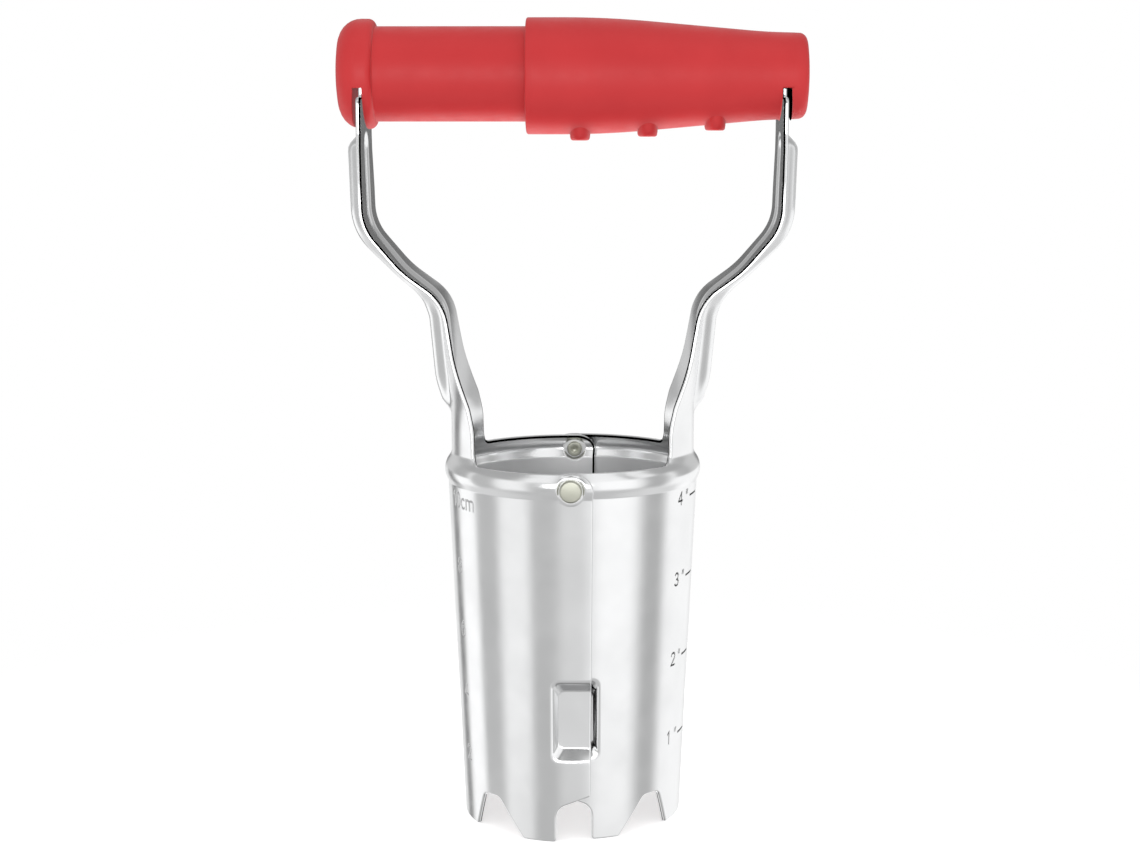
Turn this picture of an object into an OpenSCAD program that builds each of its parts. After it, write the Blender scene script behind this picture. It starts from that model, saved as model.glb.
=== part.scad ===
// Bulb planter with a squeeze handle.
// Two pressed steel jaws, hinged on a pair of rivets, close into a toothed tube. Their arms
// rise into a telescoping grip with a coil spring inside. Squeezing the grip draws the arms
// together and swings the teeth apart, which drops the plug of soil.
// Millimetres, +Z up, -Y is the front. The origin is on the tube's axis, at the tooth tips.

/* [Tube] */
// Outer radius of the tube at the tooth tips
tip_r = 34.2; // [30:0.1:36]
// Outer radius of the tube at the crease under the shoulder
top_r = 38.9; // [37:0.1:44]
// Height of the wall from the tooth tips to the crease
tube_h = 107.3; // [95:0.1:125]
// Thickness of the steel sheet
sheet_t = 1.5; // [1.2:0.1:1.8]
// How far each jaw reaches past the middle, in degrees
lap_angle = 10; // [8:0.5:11]
// Gap between the two sheets where the jaws overlap
lap_gap = 0.9; // [0.8:0.05:1.1]

/* [Shoulder] */
// How far the shoulder's bend stands out from the wall
shoulder_run = 1.75; // [1:0.05:2.5]
// Height of the shoulder's bend above the crease
shoulder_rise = 3.9; // [3:0.1:5]
// Bend radius of the shoulder
shoulder_bend = 5; // [3:0.1:5.5]
// Height of the lip above the crease
lip_h = 7.3; // [6.6:0.1:8]
// Bend radius at the crease
crease_bend = 1.5; // [0.8:0.1:2.5]
// Corner radius where the seam meets the lip
seam_bend = 5.5; // [4:0.1:6]

/* [Teeth] */
// Height of the notches between the teeth
notch_h = 11.8; // [8:0.1:16]
// Width of a notch at the tooth tips
notch_w = 19.7; // [16:0.1:22]
// Lean of a notch on the side of the small tooth
notch_front_lean = 8.4; // [4:0.1:9]
// Lean of a notch on the side of the large tooth
notch_side_lean = 4.8; // [3:0.1:7]
// Corner radius at the top of a notch
notch_bend = 3; // [1:0.1:3.2]
// Angle from the seam to the middle of a notch
notch_angle = 42.5; // [40:0.5:48]
// Width of the seam's arch on the outer sheet's side
arch_outer_w = 4.45; // [3:0.05:6]
// Width of the seam's arch on the inner sheet's side
arch_inner_w = 6.2; // [4:0.05:7]
// Height at which the arch leaves its upright side
arch_h = 10.8; // [8:0.1:14]
// Slope of the arch's roof, in degrees
arch_slope = 21; // [12:1:30]
// Corner radius of the arch
arch_bend = 4.5; // [2:0.1:5]

/* [Stop pocket] */
// Height of the pocket's middle above the tooth tips
pocket_z = 38.5; // [32:0.5:50]
// Height of the pocket at its rim
pocket_h = 25.4; // [20:0.1:30]
// Depth of the pocket
pocket_depth = 2.9; // [2:0.1:3.4]
// Run of the pocket's sloping ends
pocket_ramp = 4.7; // [3:0.1:6]
// Run of the pocket's upright side
pocket_side = 1.8; // [1:0.1:2.4]
// Reach of the outer sheet's pocket from the middle
pocket_outer_w = 5.9; // [5:0.1:7]
// Reach of the inner sheet's pocket from the middle
pocket_inner_w = 8.6; // [8:0.1:10]
// Corner radius of the pocket
pocket_bend = 2.5; // [1:0.1:3]

/* [Rivets] */
// Height of the hinge axis above the crease
rivet_h = 2.7; // [2:0.1:3]
// Radius of the rivet's head
rivet_head_r = 3.4; // [2.8:0.1:3.8]
// Thickness of the rivet's head
rivet_head_t = 1.4; // [0.8:0.1:2]
// Radius of the rivet's shank
rivet_r = 1.9; // [1.5:0.1:2.2]
// Radius of the formed tail of the rivet
rivet_tail_r = 2.5; // [2.4:0.1:3.2]
// Length of the formed tail of the rivet
rivet_tail_t = 1.8; // [1:0.1:2.2]
// Radius of the flat seat pressed round the rivet
seat_r = 4.2; // [4:0.1:4.25]
// How far the flat seat stands out from the wall
seat_out = 0.2; // [0.1:0.05:0.3]
// Gap between the flat seats of the two jaws
seat_gap = 0.35; // [0.3:0.05:0.4]

/* [Arms] */
// Outer radius of the arm's curved foot
foot_r = 37.85; // [37:0.05:39]
// Bend radius where the shoulder turns up into the foot
foot_bend = 4.5; // [3:0.1:4.8]
// Fillet between the lip and the arm's edge
foot_fillet = 3.5; // [2:0.1:5]
// Height of the foot above the crease
foot_h = 16.7; // [15:0.1:20]
// Width of the arm at the lip
arm_foot_w = 45.2; // [40:0.1:50]
// Width of the arm along its slanting stretch
arm_slim_w = 34.4; // [32:0.1:37]
// Width of the arm's head at the grip
arm_top_w = 29.5; // [27:0.5:32]
// Height of the foot's top bend above the start of the free arm
kink_h = 6.5; // [5:0.1:10]
// Distance of the arm's middle from the axis at its neck
neck_x = 40.05; // [39:0.05:44]
// Height of the neck
neck_z = 162.7; // [155:0.1:170]
// Distance of the arm's middle from the grip's end
arm_inset = 8; // [7:0.1:9]
// Lean of the slanting stretch from the upright above the neck, in degrees
low_slant = 51.5; // [49:0.5:55]
// Lean of the slanting stretch from the upright below the crown, in degrees
high_slant = 39.2; // [37:0.1:42]
// Where the slanting stretch changes its lean, as a share of its width
sway_share = 0.51; // [0.46:0.01:0.55]
// How far the arm's upright stretch leans in at the crown
arm_lean = 0.7; // [0.3:0.1:0.9]
// Bend radius at the top of the foot
kink_bend = 17; // [12:1:26]
// Bend radius at the neck
neck_bend = 13; // [9:1:15]
// Bend radius in the slanting stretch, where it changes its lean
sway_bend = 34; // [20:1:36]
// Bend radius at the crown, where the arm turns upright
crown_bend = 16.5; // [12:0.5:18]
// Bend radius below the arm's flat head
head_bend = 40; // [20:1:60]

/* [Stiffening bead] */
// Width of the bead pressed along the arm
bead_w = 12.5; // [10:0.5:16]
// Height of the bead
bead_h = 4.2; // [3:0.1:5]
// Share of the bead's height at its lower end
bead_foot_share = 0.5; // [0.3:0.05:1]
// Length over which the bead rises from its lower end
bead_foot_run = 14; // [8:0.5:20]
// Share of the bead's height that is left past the neck's bend
bead_dip_share = 0.55; // [0.4:0.05:1]
// Share of the bead's half width that its flank takes up
bead_flank = 0.75; // [0.6:0.05:1]
// Distance of the bead's lower end from the start of the free arm
bead_start = 3; // [1:0.5:10]
// Distance of the bead's upper end from the arm's flat head
bead_stop = 0.5; // [0.5:0.5:10]

/* [Grip] */
// Height of the grip's axis above the tooth tips
grip_z = 231.9; // [229:0.1:236]
// Half of the grip's length
grip_half = 72; // [64:0.1:80]
// Radius of the flange on the inner grip
flange_r = 16.6; // [16:0.1:18]
// Length of the flange along the grip
flange_len = 12; // [11:0.1:14]
// Corner radius of the flange's inner face
flange_bend = 2.2; // [1:0.1:2.3]
// Rise of the domed ends
dome_rise = 1.2; // [0.8:0.1:2]
// Corner radius of the flange's domed end
flange_end_bend = 7; // [4:0.1:7.5]
// Radius of the inner grip's tube
tube_r = 14.35; // [13.5:0.05:14.6]
// Where the inner tube ends inside the sleeve
tube_end_x = -1; // [-2:0.1:1]
// Radius of the sleeve
sleeve_r = 17.6; // [17:0.1:19]
// How far the sleeve's outside sits below the grip's axis
sleeve_drop = 0.6; // [0:0.1:0.8]
// Where the sleeve begins
sleeve_x = -14.2; // [-18:0.1:-12]
// Edge radius of the sleeve's open end
sleeve_edge = 0.7; // [0.3:0.1:1]
// Where the sleeve's taper begins
taper_x = 10; // [6:0.5:14]
// Distance of the taper's end from the grip's end
waist_inset = 13.5; // [12:0.1:16]
// Radius of the sleeve at the taper's end
waist_r = 13.25; // [13:0.05:14.5]
// Radius of the sleeve at its closed end
sleeve_end_r = 12.9; // [12.5:0.05:13.2]
// Corner radius of the sleeve's closed end
sleeve_end_bend = 2.6; // [1:0.1:3.4]
// Blend radius at the start of the taper
taper_bend = 300; // [200:10:320]
// Blend radius at the taper's end
waist_bend = 150; // [80:10:160]
// Clearance between the inner tube and the sleeve
slide_gap = 0.08; // [0.05:0.01:0.1]
// How far the grip can be squeezed
squeeze = 25.66; // [20:0.01:26]

/* [Grip ridges] */
// Middle of the first ridge
ridge_x = 2.2; // [-2:0.1:4]
// Spacing of the ridges
ridge_pitch = 20.6; // [16:0.1:20.8]
// Number of ridges
ridge_count = 3; // [1:1:3]
// Width of a ridge
ridge_w = 6.1; // [4:0.1:8]
// Length of a ridge across the grip
ridge_len = 17; // [12:0.5:20]
// How far a ridge stands out under the grip
ridge_out = 1.8; // [0.8:0.1:2]

/* [Arm sockets] */
// Top of the slot across the grip, below the grip's axis
slot_drop = 4.3; // [3.5:0.1:5]
// Clearance of the slot on the inside of the arm
slot_in = 0.3; // [0.25:0.05:0.5]
// Clearance of the slot on the outside of the arm at its top
slot_out = 0.9; // [0.6:0.05:1.2]
// Extra clearance of the slot on the outside at the grip's underside
slot_flare = 1.3; // [1.1:0.1:1.6]
// Height of the arm's shoulders below the slot's top
head_drop = 2.8; // [2:0.1:4]
// Width of the tongue on the arm's head
tongue_w = 14; // [12:0.5:16]
// Height of the tongue above the arm's shoulders
tongue_h = 8.4; // [8.2:0.1:9]
// Room round the tongue
tongue_room = 0.45; // [0.4:0.05:0.6]
// Height of the lug's middle above the slot's top
lug_h = 1.8; // [1.6:0.1:2]
// Radius of the moulded lug that holds the arm
lug_r = 1.5; // [1.2:0.1:1.6]
// Length of the lug
lug_len = 8; // [6:0.1:9]
// Room round the lug in the tongue's window
lug_room = 0.35; // [0.3:0.05:0.5]

/* [Spring] */
// Radius of the spring's bore in the inner grip
spring_bore_r = 11.6; // [11:0.1:12]
// Thickness of the wall behind the spring
spring_wall = 3; // [2:0.1:5]
// Outer radius of the spring
spring_r = 10.6; // [9.5:0.1:10.7]
// Radius of the spring's wire
wire_r = 0.9; // [0.6:0.05:1]
// Number of turns
turns = 12; // [8:1:14]
// Gap between the spring and its seats at rest
spring_gap = 0.3; // [0.2:0.05:0.4]
// Length of the stub that centres the spring
stub_len = 5; // [3:0.5:7]

/* [Hidden] */

steel = [0.80, 0.81, 0.82];
zinc = [0.80, 0.80, 0.72];
red = [0.78, 0.20, 0.22];
$fn = 96;

// Clearance of a rivet in its bore, and under its head
rivet_gap = 0.05;
// How far a seat's disc bites into the wall round it
seat_bite = 0.25;
// The free arm is drawn this much thinner than the sheet on each side
arm_draw = 0.05;
// Share of the foot's extra width that is left where the free arm starts
join_share = 0.93;
// Where the arm's even width begins and ends, as shares of the free arm's length
slim_from = 0.43;
slim_to = 0.83;
// Where the bead is lowest, as a share of the free arm's length, and how far that reaches
dip_place = 0.5;
dip_below = 13;
dip_above = 24;
// Reach of a cutter past what it cuts
past = 12;
// A slab this thin marks one end of a tapered pocket
slab_t = 0.01;
// Points on a bend, stations along the free arm, places beside its bead and sides of the wire
bend_steps = 8;
arm_steps = 46;
edge_steps = 6;
wire_sides = 6;
turn_rings = 8;

lap_shift = (sheet_t + lap_gap) / 2;
lip_z = tube_h + lip_h;
join_z = tube_h + foot_h;
rivet_z = tube_h + rivet_h;
foot_mid = foot_r - sheet_t / 2;
kink_z = join_z + kink_h;
arm_x = grip_half - arm_inset;
flange_x = grip_half - flange_len;
crown_x = arm_x - arm_lean;
sway_x = neck_x + (crown_x - neck_x) * sway_share;
sway_z = neck_z + (sway_x - neck_x) / tan(low_slant);
crown_z = sway_z + (crown_x - sway_x) / tan(high_slant);
waist_x = grip_half - waist_inset;
slot_z = grip_z - slot_drop;
head_z = slot_z - head_drop;
plate_z = head_z - 10.6;
lug_z = slot_z + lug_h;
tongue_z = head_z + tongue_h;
seam_x = (top_r + 1) * sin(lap_angle);
seat_y = top_r + seat_out;
inner_seat_y = seat_y + 2 * lap_shift - sheet_t - seat_gap;
inner_seat_r = seat_r - seat_bite - seat_gap;
sleeve_bore_r = tube_r + slide_gap;
spring_x0 = -flange_x + spring_wall;
spring_x1 = tube_end_x + squeeze + 1.5;
spring_mid = spring_r - wire_r;
stub_r = spring_mid * cos(180 / turn_rings) - wire_r - spring_gap;
reach = top_r + past;

function unit(v) = v / norm(v);
function wall_r(z) = tip_r + (top_r - tip_r) * z / tube_h;
function smooth(t) = let (c = max(0, min(1, t))) c * c * (3 - 2 * c);

// One corner of a path, at c between a and b, as an arc of radius r
function corner(a, c, b, r) = r == 0 ? [c] :
    let (u = unit(a - c),
         v = unit(b - c),
         half = acos(u * v) / 2,
         centre = c + unit(u + v) * r / sin(half),
         start = c + u * r / tan(half) - centre,
         stop = c + v * r / tan(half) - centre,
         from = atan2(start.y, start.x),
         turn = (atan2(stop.y, stop.x) - from + 540) % 360 - 180)
    [for (i = [0:bend_steps])
        centre + r * [cos(from + turn * i / bend_steps), sin(from + turn * i / bend_steps)]];

// A path of [x, y, radius] corners with its bends drawn as arcs
function bent(p, closed) = let (n = len(p))
    [for (i = [0:n - 1])
        let (c = [p[i].x, p[i].y],
             a = p[(i + n - 1) % n],
             b = p[(i + 1) % n],
             end = !closed && (i == 0 || i == n - 1))
        each corner([a.x, a.y], c, [b.x, b.y], end ? 0 : p[i].z)];

// Direction of a path at its point i
function heading(p, i) = let (n = len(p) - 1)
    unit((i < n ? unit(p[i + 1] - p[i]) : [0, 0]) + (i > 0 ? unit(p[i] - p[i - 1]) : [0, 0]));

// Outline of a sheet of thickness t whose middle follows a path
function sheet(p, t) = let (n = len(p) - 1)
    concat([for (i = [0:n]) let (d = heading(p, i)) p[i] + [d.y, -d.x] * t / 2],
           [for (i = [n:-1:0]) let (d = heading(p, i)) p[i] - [d.y, -d.x] * t / 2]);

// Draws in the X-Z plane and runs from y0 to y1
module along_y(y0, y1) {
    translate([0, y1, 0])
        rotate([90, 0, 0])
            linear_extrude(y1 - y0)
                children();
}

// Draws in the Y-Z plane and runs from x0 to x1
module along_x(x0, x1) {
    translate([x0, 0, 0])
        rotate([90, 0, 90])
            linear_extrude(x1 - x0)
                children();
}

// Puts what is drawn for the outer end at the front, and its opposite at the inner end
module at_inner_end() {
    rotate([0, 0, 180])
        mirror([1, 0, 0])
            children();
}

// The jaw's wall, shoulder and foot: one bent sheet turned through just over half a circle
wall_path = bent([[wall_r(-past) - sheet_t / 2, -past, 0],
                  [top_r - sheet_t / 2, tube_h, crease_bend],
                  [top_r - sheet_t / 2 + shoulder_run, tube_h + shoulder_rise, shoulder_bend],
                  [foot_mid, tube_h + shoulder_rise + 4.2, foot_bend],
                  [foot_mid, join_z, 0]], false);

module wall() {
    sweep = 180 + 2 * (lap_angle + 4);
    rotate([0, 0, 90 - lap_angle - 4])
        rotate_extrude(angle = sweep)
            polygon(sheet(wall_path, sheet_t));
}

// Half of the arm's width at height z on its foot
function foot_half(z) = let (k = (z - lip_z) / (join_z - lip_z))
    arm_foot_w / 2 + (arm_join_half - arm_foot_w / 2) * k;
arm_join_half = arm_slim_w / 2 + (arm_foot_w - arm_slim_w) / 2 * join_share;

// What is cut from the sheet above the lip, on one side of the arm
module lip_trim() {
    top = join_z + 1;
    along_x(-reach, past + 3)
        polygon(bent([[-reach, lip_z, 0],
                      [-foot_half(lip_z), lip_z, foot_fillet],
                      [-foot_half(top), top, 0],
                      [-reach, top, 0]], true));
}

module side_notch() {
    half = notch_w / 2;
    rotate([0, 0, -notch_angle])
        along_y(-reach, past - tip_r)
            polygon(bent([[half, -past, 0],
                          [half, 0, 0],
                          [half - notch_front_lean, notch_h, notch_bend],
                          [notch_side_lean - half, notch_h, notch_bend],
                          [-half, 0, 0],
                          [-half, -past, 0]], true));
}

module seam_arch(side_w) {
    along_y(-reach, past - tip_r)
        polygon(bent([[-side_w, -past, 0],
                      [-side_w, arch_h, arch_bend],
                      [past, arch_h + (past + side_w) * tan(arch_slope), 0],
                      [past, -past, 0]], true));
}

// Everything past the seam's edge, and the corner between the seam and the lip
module seam_cut() {
    rotate([0, 0, lap_angle])
        translate([0, -reach, -past])
            cube([2 * past, reach - past, join_z + 2 * past]);
    along_y(-reach, -past)
        translate([seam_x - seam_bend, lip_z - seam_bend])
            difference() {
                square(past);
                circle(seam_bend);
            }
}

// A tapered block with the pocket's shape: its cavity, or the cavity grown by the sheet
module pocket_block(side_w, grow, deepest) {
    wall_y = wall_r(pocket_z);
    grow_side = grow / cos(atan(pocket_side / pocket_depth));
    grow_ramp = grow / cos(atan(pocket_ramp / pocket_depth));
    hull()
        for (depth = [-1.2, deepest]) {
            share = depth / pocket_depth;
            left = -side_w - grow_side + pocket_side * share;
            half = pocket_h / 2 + grow_ramp - pocket_ramp * share;
            along_y(depth - wall_y - slab_t, depth - wall_y)
                polygon(bent([[left, pocket_z - half, pocket_bend],
                              [past, pocket_z - half, 0],
                              [past, pocket_z + half, 0],
                              [left, pocket_z + half, pocket_bend]], true));
        }
}

module pocket_dish(side_w) {
    intersection() {
        pocket_block(side_w, sheet_t, pocket_depth + sheet_t);
        cylinder(h = tube_h, r1 = tip_r, r2 = top_r);
    }
}

module pocket_cavity(side_w) {
    pocket_block(side_w, 0, pocket_depth);
}

// The flat seat round a rivet, with the rivet's bore
module rivet_seat(face_y, r) {
    translate([0, -face_y, rivet_z])
        rotate([-90, 0, 0])
            difference() {
                cylinder(h = sheet_t, r = r);
                translate([0, 0, -sheet_t])
                    cylinder(h = 3 * sheet_t, r = rivet_r + rivet_gap);
            }
}

module seat_cut(r) {
    along_y(-reach, -past)
        translate([0, rivet_z])
            circle(r);
}

module pressed_shell() {
    difference() {
        union() {
            wall();
            pocket_dish(pocket_outer_w);
            at_inner_end() pocket_dish(pocket_inner_w);
        }
        translate([-reach, -reach, -2 * past])
            cube([2 * reach, 2 * reach, 2 * past]);
        pocket_cavity(pocket_outer_w);
        at_inner_end() pocket_cavity(pocket_inner_w);
        seam_arch(arch_outer_w);
        at_inner_end() seam_arch(arch_inner_w);
        seam_cut();
        at_inner_end() seam_cut();
        side_notch();
        mirror([0, 1, 0]) side_notch();
        lip_trim();
        mirror([0, 1, 0]) lip_trim();
        seat_cut(seat_r);
        at_inner_end() seat_cut(inner_seat_r);
    }
}

// The free arm: a sheet that changes from the foot's curve to a flat strip along a bent path,
// with a bead pressed outwards along its middle
arm_path = bent([[foot_mid, join_z, 0],
                 [foot_mid, kink_z, kink_bend],
                 [neck_x, neck_z, neck_bend],
                 [sway_x, sway_z, sway_bend],
                 [crown_x, crown_z, crown_bend],
                 [arm_x, plate_z - 5, head_bend],
                 [arm_x, plate_z, 0]], false);
arm_run = [for (i = 0, s = 0; i < len(arm_path);
                s = s + (i + 1 < len(arm_path) ? norm(arm_path[i + 1] - arm_path[i]) : 0), i = i + 1) s];
arm_len = arm_run[len(arm_run) - 1];

// Point of the arm's path at the distance s along it
function arm_at(s) =
    let (i = max([for (k = [0:len(arm_path) - 2]) if (arm_run[k] <= max(s, 0)) k]))
    arm_path[i] + (arm_path[i + 1] - arm_path[i]) * (s - arm_run[i]) / (arm_run[i + 1] - arm_run[i]);
function arm_heading(s) = unit(arm_at(min(s + 1, arm_len)) - arm_at(max(s - 1, 0)));

// Half of the free arm's width: it narrows from the foot, stays even, and narrows to the head
function arm_half(s) = lookup(s / arm_len, [[0, arm_join_half],
                                            [slim_from, arm_slim_w / 2],
                                            [slim_to, arm_slim_w / 2],
                                            [1, arm_top_w / 2]]) - arm_draw;

// Radius of the strip's curve across: the foot's own at its start, then flatter to nearly flat.
// Some of the curve goes soon after the foot, and the rest by the crown.
soon_share = 0.39;
soon_run = 24;
late_run = 72;
function arm_curve(s) =
    let (left = 1 - soon_share * smooth(s / soon_run) - (1 - soon_share) * smooth(s / late_run))
    1 / max(1e-5, left / foot_mid);

// Height of the bead's crest at the distance s along the arm
function crest_at(s) =
    let (off = s - arm_len * dip_place,
         dip = smooth(1 - (off < 0 ? -off / dip_below : off / dip_above)),
         foot = 1 - smooth((s - bead_start) / bead_foot_run))
    bead_h * (1 - (1 - bead_foot_share) * foot - (1 - bead_dip_share) * dip);

// Height of the bead at the distance s along the arm and y across it
function bead_at(s, y) =
    let (half = bead_w / 2,
         low = bead_start + half,
         high = arm_len - bead_stop - half,
         d = norm([max(0, low - s, s - high), y]) / half)
    crest_at(s) * smooth((1 - d) / bead_flank);

// Places across the arm: close together over the bead, wider towards the edges
function arm_places(w) = let (b = bead_w / 2, step = (w - b) / edge_steps)
    concat([for (k = [0:edge_steps - 1]) k * step - w],
           [for (k = [-5:5]) b * k / 5],
           [for (k = [edge_steps - 1:-1:0]) w - k * step]);

function arm_row(s, side) =
    let (p = arm_at(s), d = arm_heading(s), r = arm_curve(s), h = sheet_t / 2 - arm_draw)
    [for (y = arm_places(arm_half(s)))
        let (off = sqrt(pow(r + side * h, 2) - y * y) - r + bead_at(s, y))
        [-p.x - d.y * off, y, p.y - d.x * off]];

function quad(a, b, c, d) = [[a, b, c], [a, c, d]];

module free_arm() {
    outer = [for (k = [0:arm_steps]) each arm_row(arm_len * k / arm_steps, 1)];
    inner = [for (k = [0:arm_steps]) each arm_row(arm_len * k / arm_steps, -1)];
    n = len(arm_places(arm_half(0)));
    skip = len(outer);
    m = n - 1;
    last = arm_steps * n;
    sides = [for (k = [0:arm_steps - 1], j = [0:m - 1])
                let (i = k * n + j)
                each concat(quad(i, i + 1, i + n + 1, i + n),
                            quad(skip + i, skip + i + n, skip + i + n + 1, skip + i + 1))];
    edges = [for (k = [0:arm_steps - 1])
                let (i = k * n)
                each concat(quad(skip + i, i, i + n, skip + i + n),
                            quad(i + m, skip + i + m, skip + i + m + n, i + m + n))];
    ends = [for (j = [0:m - 1])
                each concat(quad(j, skip + j, skip + j + 1, j + 1),
                            quad(skip + last + j, last + j, last + j + 1, skip + last + j + 1))];
    polyhedron(concat(outer, inner), concat(sides, edges, ends), 4);
}

// The arm's flat head, with the tongue and its window for the grip's lug
module arm_head() {
    half = arm_top_w / 2;
    tongue = tongue_w / 2;
    window_w = lug_len / 2 + lug_room;
    window_h = lug_r + lug_room;
    along_x(-arm_x - sheet_t / 2, -arm_x + sheet_t / 2)
        difference() {
            polygon(bent([[-half, plate_z, 0],
                          [half, plate_z, 0],
                          [half, head_z, 2],
                          [tongue, head_z, 0.8],
                          [tongue, tongue_z, 1.5],
                          [-tongue, tongue_z, 1.5],
                          [-tongue, head_z, 0.8],
                          [-half, head_z, 2]], true));
            translate([-window_w, lug_z - window_h])
                square([2 * window_w, 2 * window_h]);
        }
}

// One jaw. Both jaws are the same pressing, the second turned half a circle.
module jaw() {
    translate([0, -lap_shift, 0])
        union() {
            pressed_shell();
            rivet_seat(seat_y, seat_r + seat_bite);
            at_inner_end() rivet_seat(inner_seat_y, inner_seat_r + seat_bite);
            free_arm();
            arm_head();
        }
}

module left_jaw() {
    color(steel) jaw();
}

module right_jaw() {
    color(steel) rotate([0, 0, 180]) jaw();
}

// A rivet through the two flat seats at the front
module rivet() {
    face = seat_y + lap_shift + rivet_gap;
    back = inner_seat_y - sheet_t - lap_shift - rivet_gap;
    translate([0, 0, rivet_z])
        rotate([90, 0, 0])
            rotate_extrude()
                polygon(bent([[0, face + rivet_head_t, 0],
                              [rivet_head_r, face + rivet_head_t, 0.5],
                              [rivet_head_r, face, 0],
                              [rivet_r, face, 0],
                              [rivet_r, back, 0],
                              [rivet_tail_r, back, 0],
                              [rivet_tail_r, back - rivet_tail_t, 1.4],
                              [0, back - rivet_tail_t, 0]], true));
}

module front_rivet() {
    color(zinc) rivet();
}

module rear_rivet() {
    color(zinc) rotate([0, 0, 180]) rivet();
}

// Turns a profile of [radius, x] points about the grip's axis
module grip_turn(points) {
    translate([0, 0, grip_z])
        rotate([0, 90, 0])
            rotate_extrude()
                polygon(points);
}

// The slot across the grip for an arm, with room for the tongue, on the -X side
module arm_socket() {
    inside = -(arm_x - sheet_t / 2 - slot_in);
    outside = -(arm_x + sheet_t / 2 + slot_out);
    low_z = grip_z - sleeve_r - ridge_out;
    room = tongue_w / 2 + tongue_room;
    along_y(-reach, reach)
        polygon([[inside, low_z], [inside, slot_z], [outside, slot_z], [outside - slot_flare, low_z]]);
    translate([outside - 0.3, -lap_shift - room, slot_z - 1])
        cube([inside - outside + 0.9, 2 * room, tongue_z + tongue_room - slot_z + 1]);
}

// The moulded lug that the tongue hangs on, on the -X side
module arm_lug() {
    root = arm_x + sheet_t / 2 + slot_out + 1;
    translate([-arm_x, -lap_shift - lug_len / 2, lug_z])
        rotate([-90, 0, 0])
            cylinder(h = lug_len, r = lug_r);
    translate([-root, -lap_shift - lug_len / 2, lug_z - lug_r * 0.7])
        cube([root - arm_x, lug_len, lug_r * 1.4]);
}

// Left half of the grip: a domed flange and a tube that slides in the sleeve
module grip_inner() {
    color(red)
        union() {
            difference() {
                grip_turn(bent([[0, -grip_half, 0],
                                [flange_r, dome_rise - grip_half, flange_end_bend],
                                [flange_r, -flange_x, flange_bend],
                                [tube_r, -flange_x, 0],
                                [tube_r, tube_end_x, 0.6],
                                [spring_bore_r, tube_end_x, 0.6],
                                [spring_bore_r, spring_x0, 0.8],
                                [0, spring_x0, 0]], true));
                arm_socket();
            }
            arm_lug();
        }
}

// Radius of the sleeve's taper at x
function sleeve_at(x) = sleeve_r + (waist_r - sleeve_r) * max(0, x - taper_x) / (waist_x - taper_x);

// A finger ridge across the underside of the sleeve: an upright slab with round ends
module ridge(x) {
    w = ridge_w / 2;
    l = ridge_len / 2;
    r = w * 0.98;
    translate([x, 0, grip_z - sleeve_drop - sleeve_at(x) - ridge_out])
        linear_extrude(sleeve_at(x) / 2)
            polygon(bent([[-w, -l, r], [w, -l, r], [w, l, r], [-w, l, r]], true));
}

// Right half of the grip: the tapered sleeve with its finger ridges
module grip_outer() {
    color(red)
        union() {
            difference() {
                union() {
                    translate([0, 0, -sleeve_drop])
                        grip_turn(bent([[0, sleeve_x, 0],
                                        [sleeve_r, sleeve_x, sleeve_edge],
                                        [sleeve_r, taper_x, taper_bend],
                                        [waist_r, waist_x, waist_bend],
                                        [sleeve_end_r, grip_half - dome_rise, sleeve_end_bend],
                                        [0, grip_half, 0]], true));
                    for (i = [0:ridge_count - 1])
                        ridge(ridge_x + i * ridge_pitch);
                }
                translate([sleeve_x - 1, 0, grip_z])
                    rotate([0, 90, 0])
                        cylinder(h = spring_x1 - sleeve_x + 1, r = sleeve_bore_r);
                rotate([0, 0, 180]) arm_socket();
            }
            rotate([0, 0, 180]) arm_lug();
            grip_turn(bent([[0, spring_x1 + 1, 0],
                            [stub_r, spring_x1 + 1, 0],
                            [stub_r, spring_x1 - stub_len, 1],
                            [0, spring_x1 - stub_len, 0]], true));
        }
}

// The coil spring: one round wire wound about the grip's axis
spring_from = spring_x0 + wire_r + spring_gap;
spring_to = spring_x1 - wire_r - spring_gap;
pitch = (spring_to - spring_from) / turns;
function coil_at(turn) =
    [spring_from + pitch * turn, spring_mid * cos(360 * turn), spring_mid * sin(360 * turn)];
coil = [for (k = [0:turns * turn_rings]) coil_at(k / turn_rings)];
coil_gap = min([for (k = [0:turn_rings]) norm(coil_at(1 + k / turn_rings) - coil_at(0))]) - 2 * wire_r;
echo(least_gap_between_turns = coil_gap);

module return_spring() {
    rings = len(coil);
    points = [for (k = [0:rings - 1], j = [0:wire_sides - 1])
                 let (c = coil[k],
                      out = [0, c.y, c.z] / spring_mid,
                      a = 360 * j / wire_sides)
                 c + wire_r * (cos(a) * out + sin(a) * [1, 0, 0])];
    faces = [for (k = [0:rings - 2], j = [0:wire_sides - 1])
                let (i = k * wire_sides, b = (j + 1) % wire_sides)
                each quad(i + j, i + b, i + b + wire_sides, i + j + wire_sides)];
    first = [for (j = [1:wire_sides - 2]) [0, j + 1, j]];
    end = (rings - 1) * wire_sides;
    last = [for (j = [1:wire_sides - 2]) [end, end + j, end + j + 1]];
    color(steel)
        translate([0, 0, grip_z])
            polyhedron(points, concat(faces, first, last));
}

left_jaw();
right_jaw();
front_rivet();
rear_rivet();
grip_inner();
grip_outer();
return_spring();
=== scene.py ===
import math

import bpy
import numpy as np
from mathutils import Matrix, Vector, kdtree
from mathutils.geometry import delaunay_2d_cdt


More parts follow.
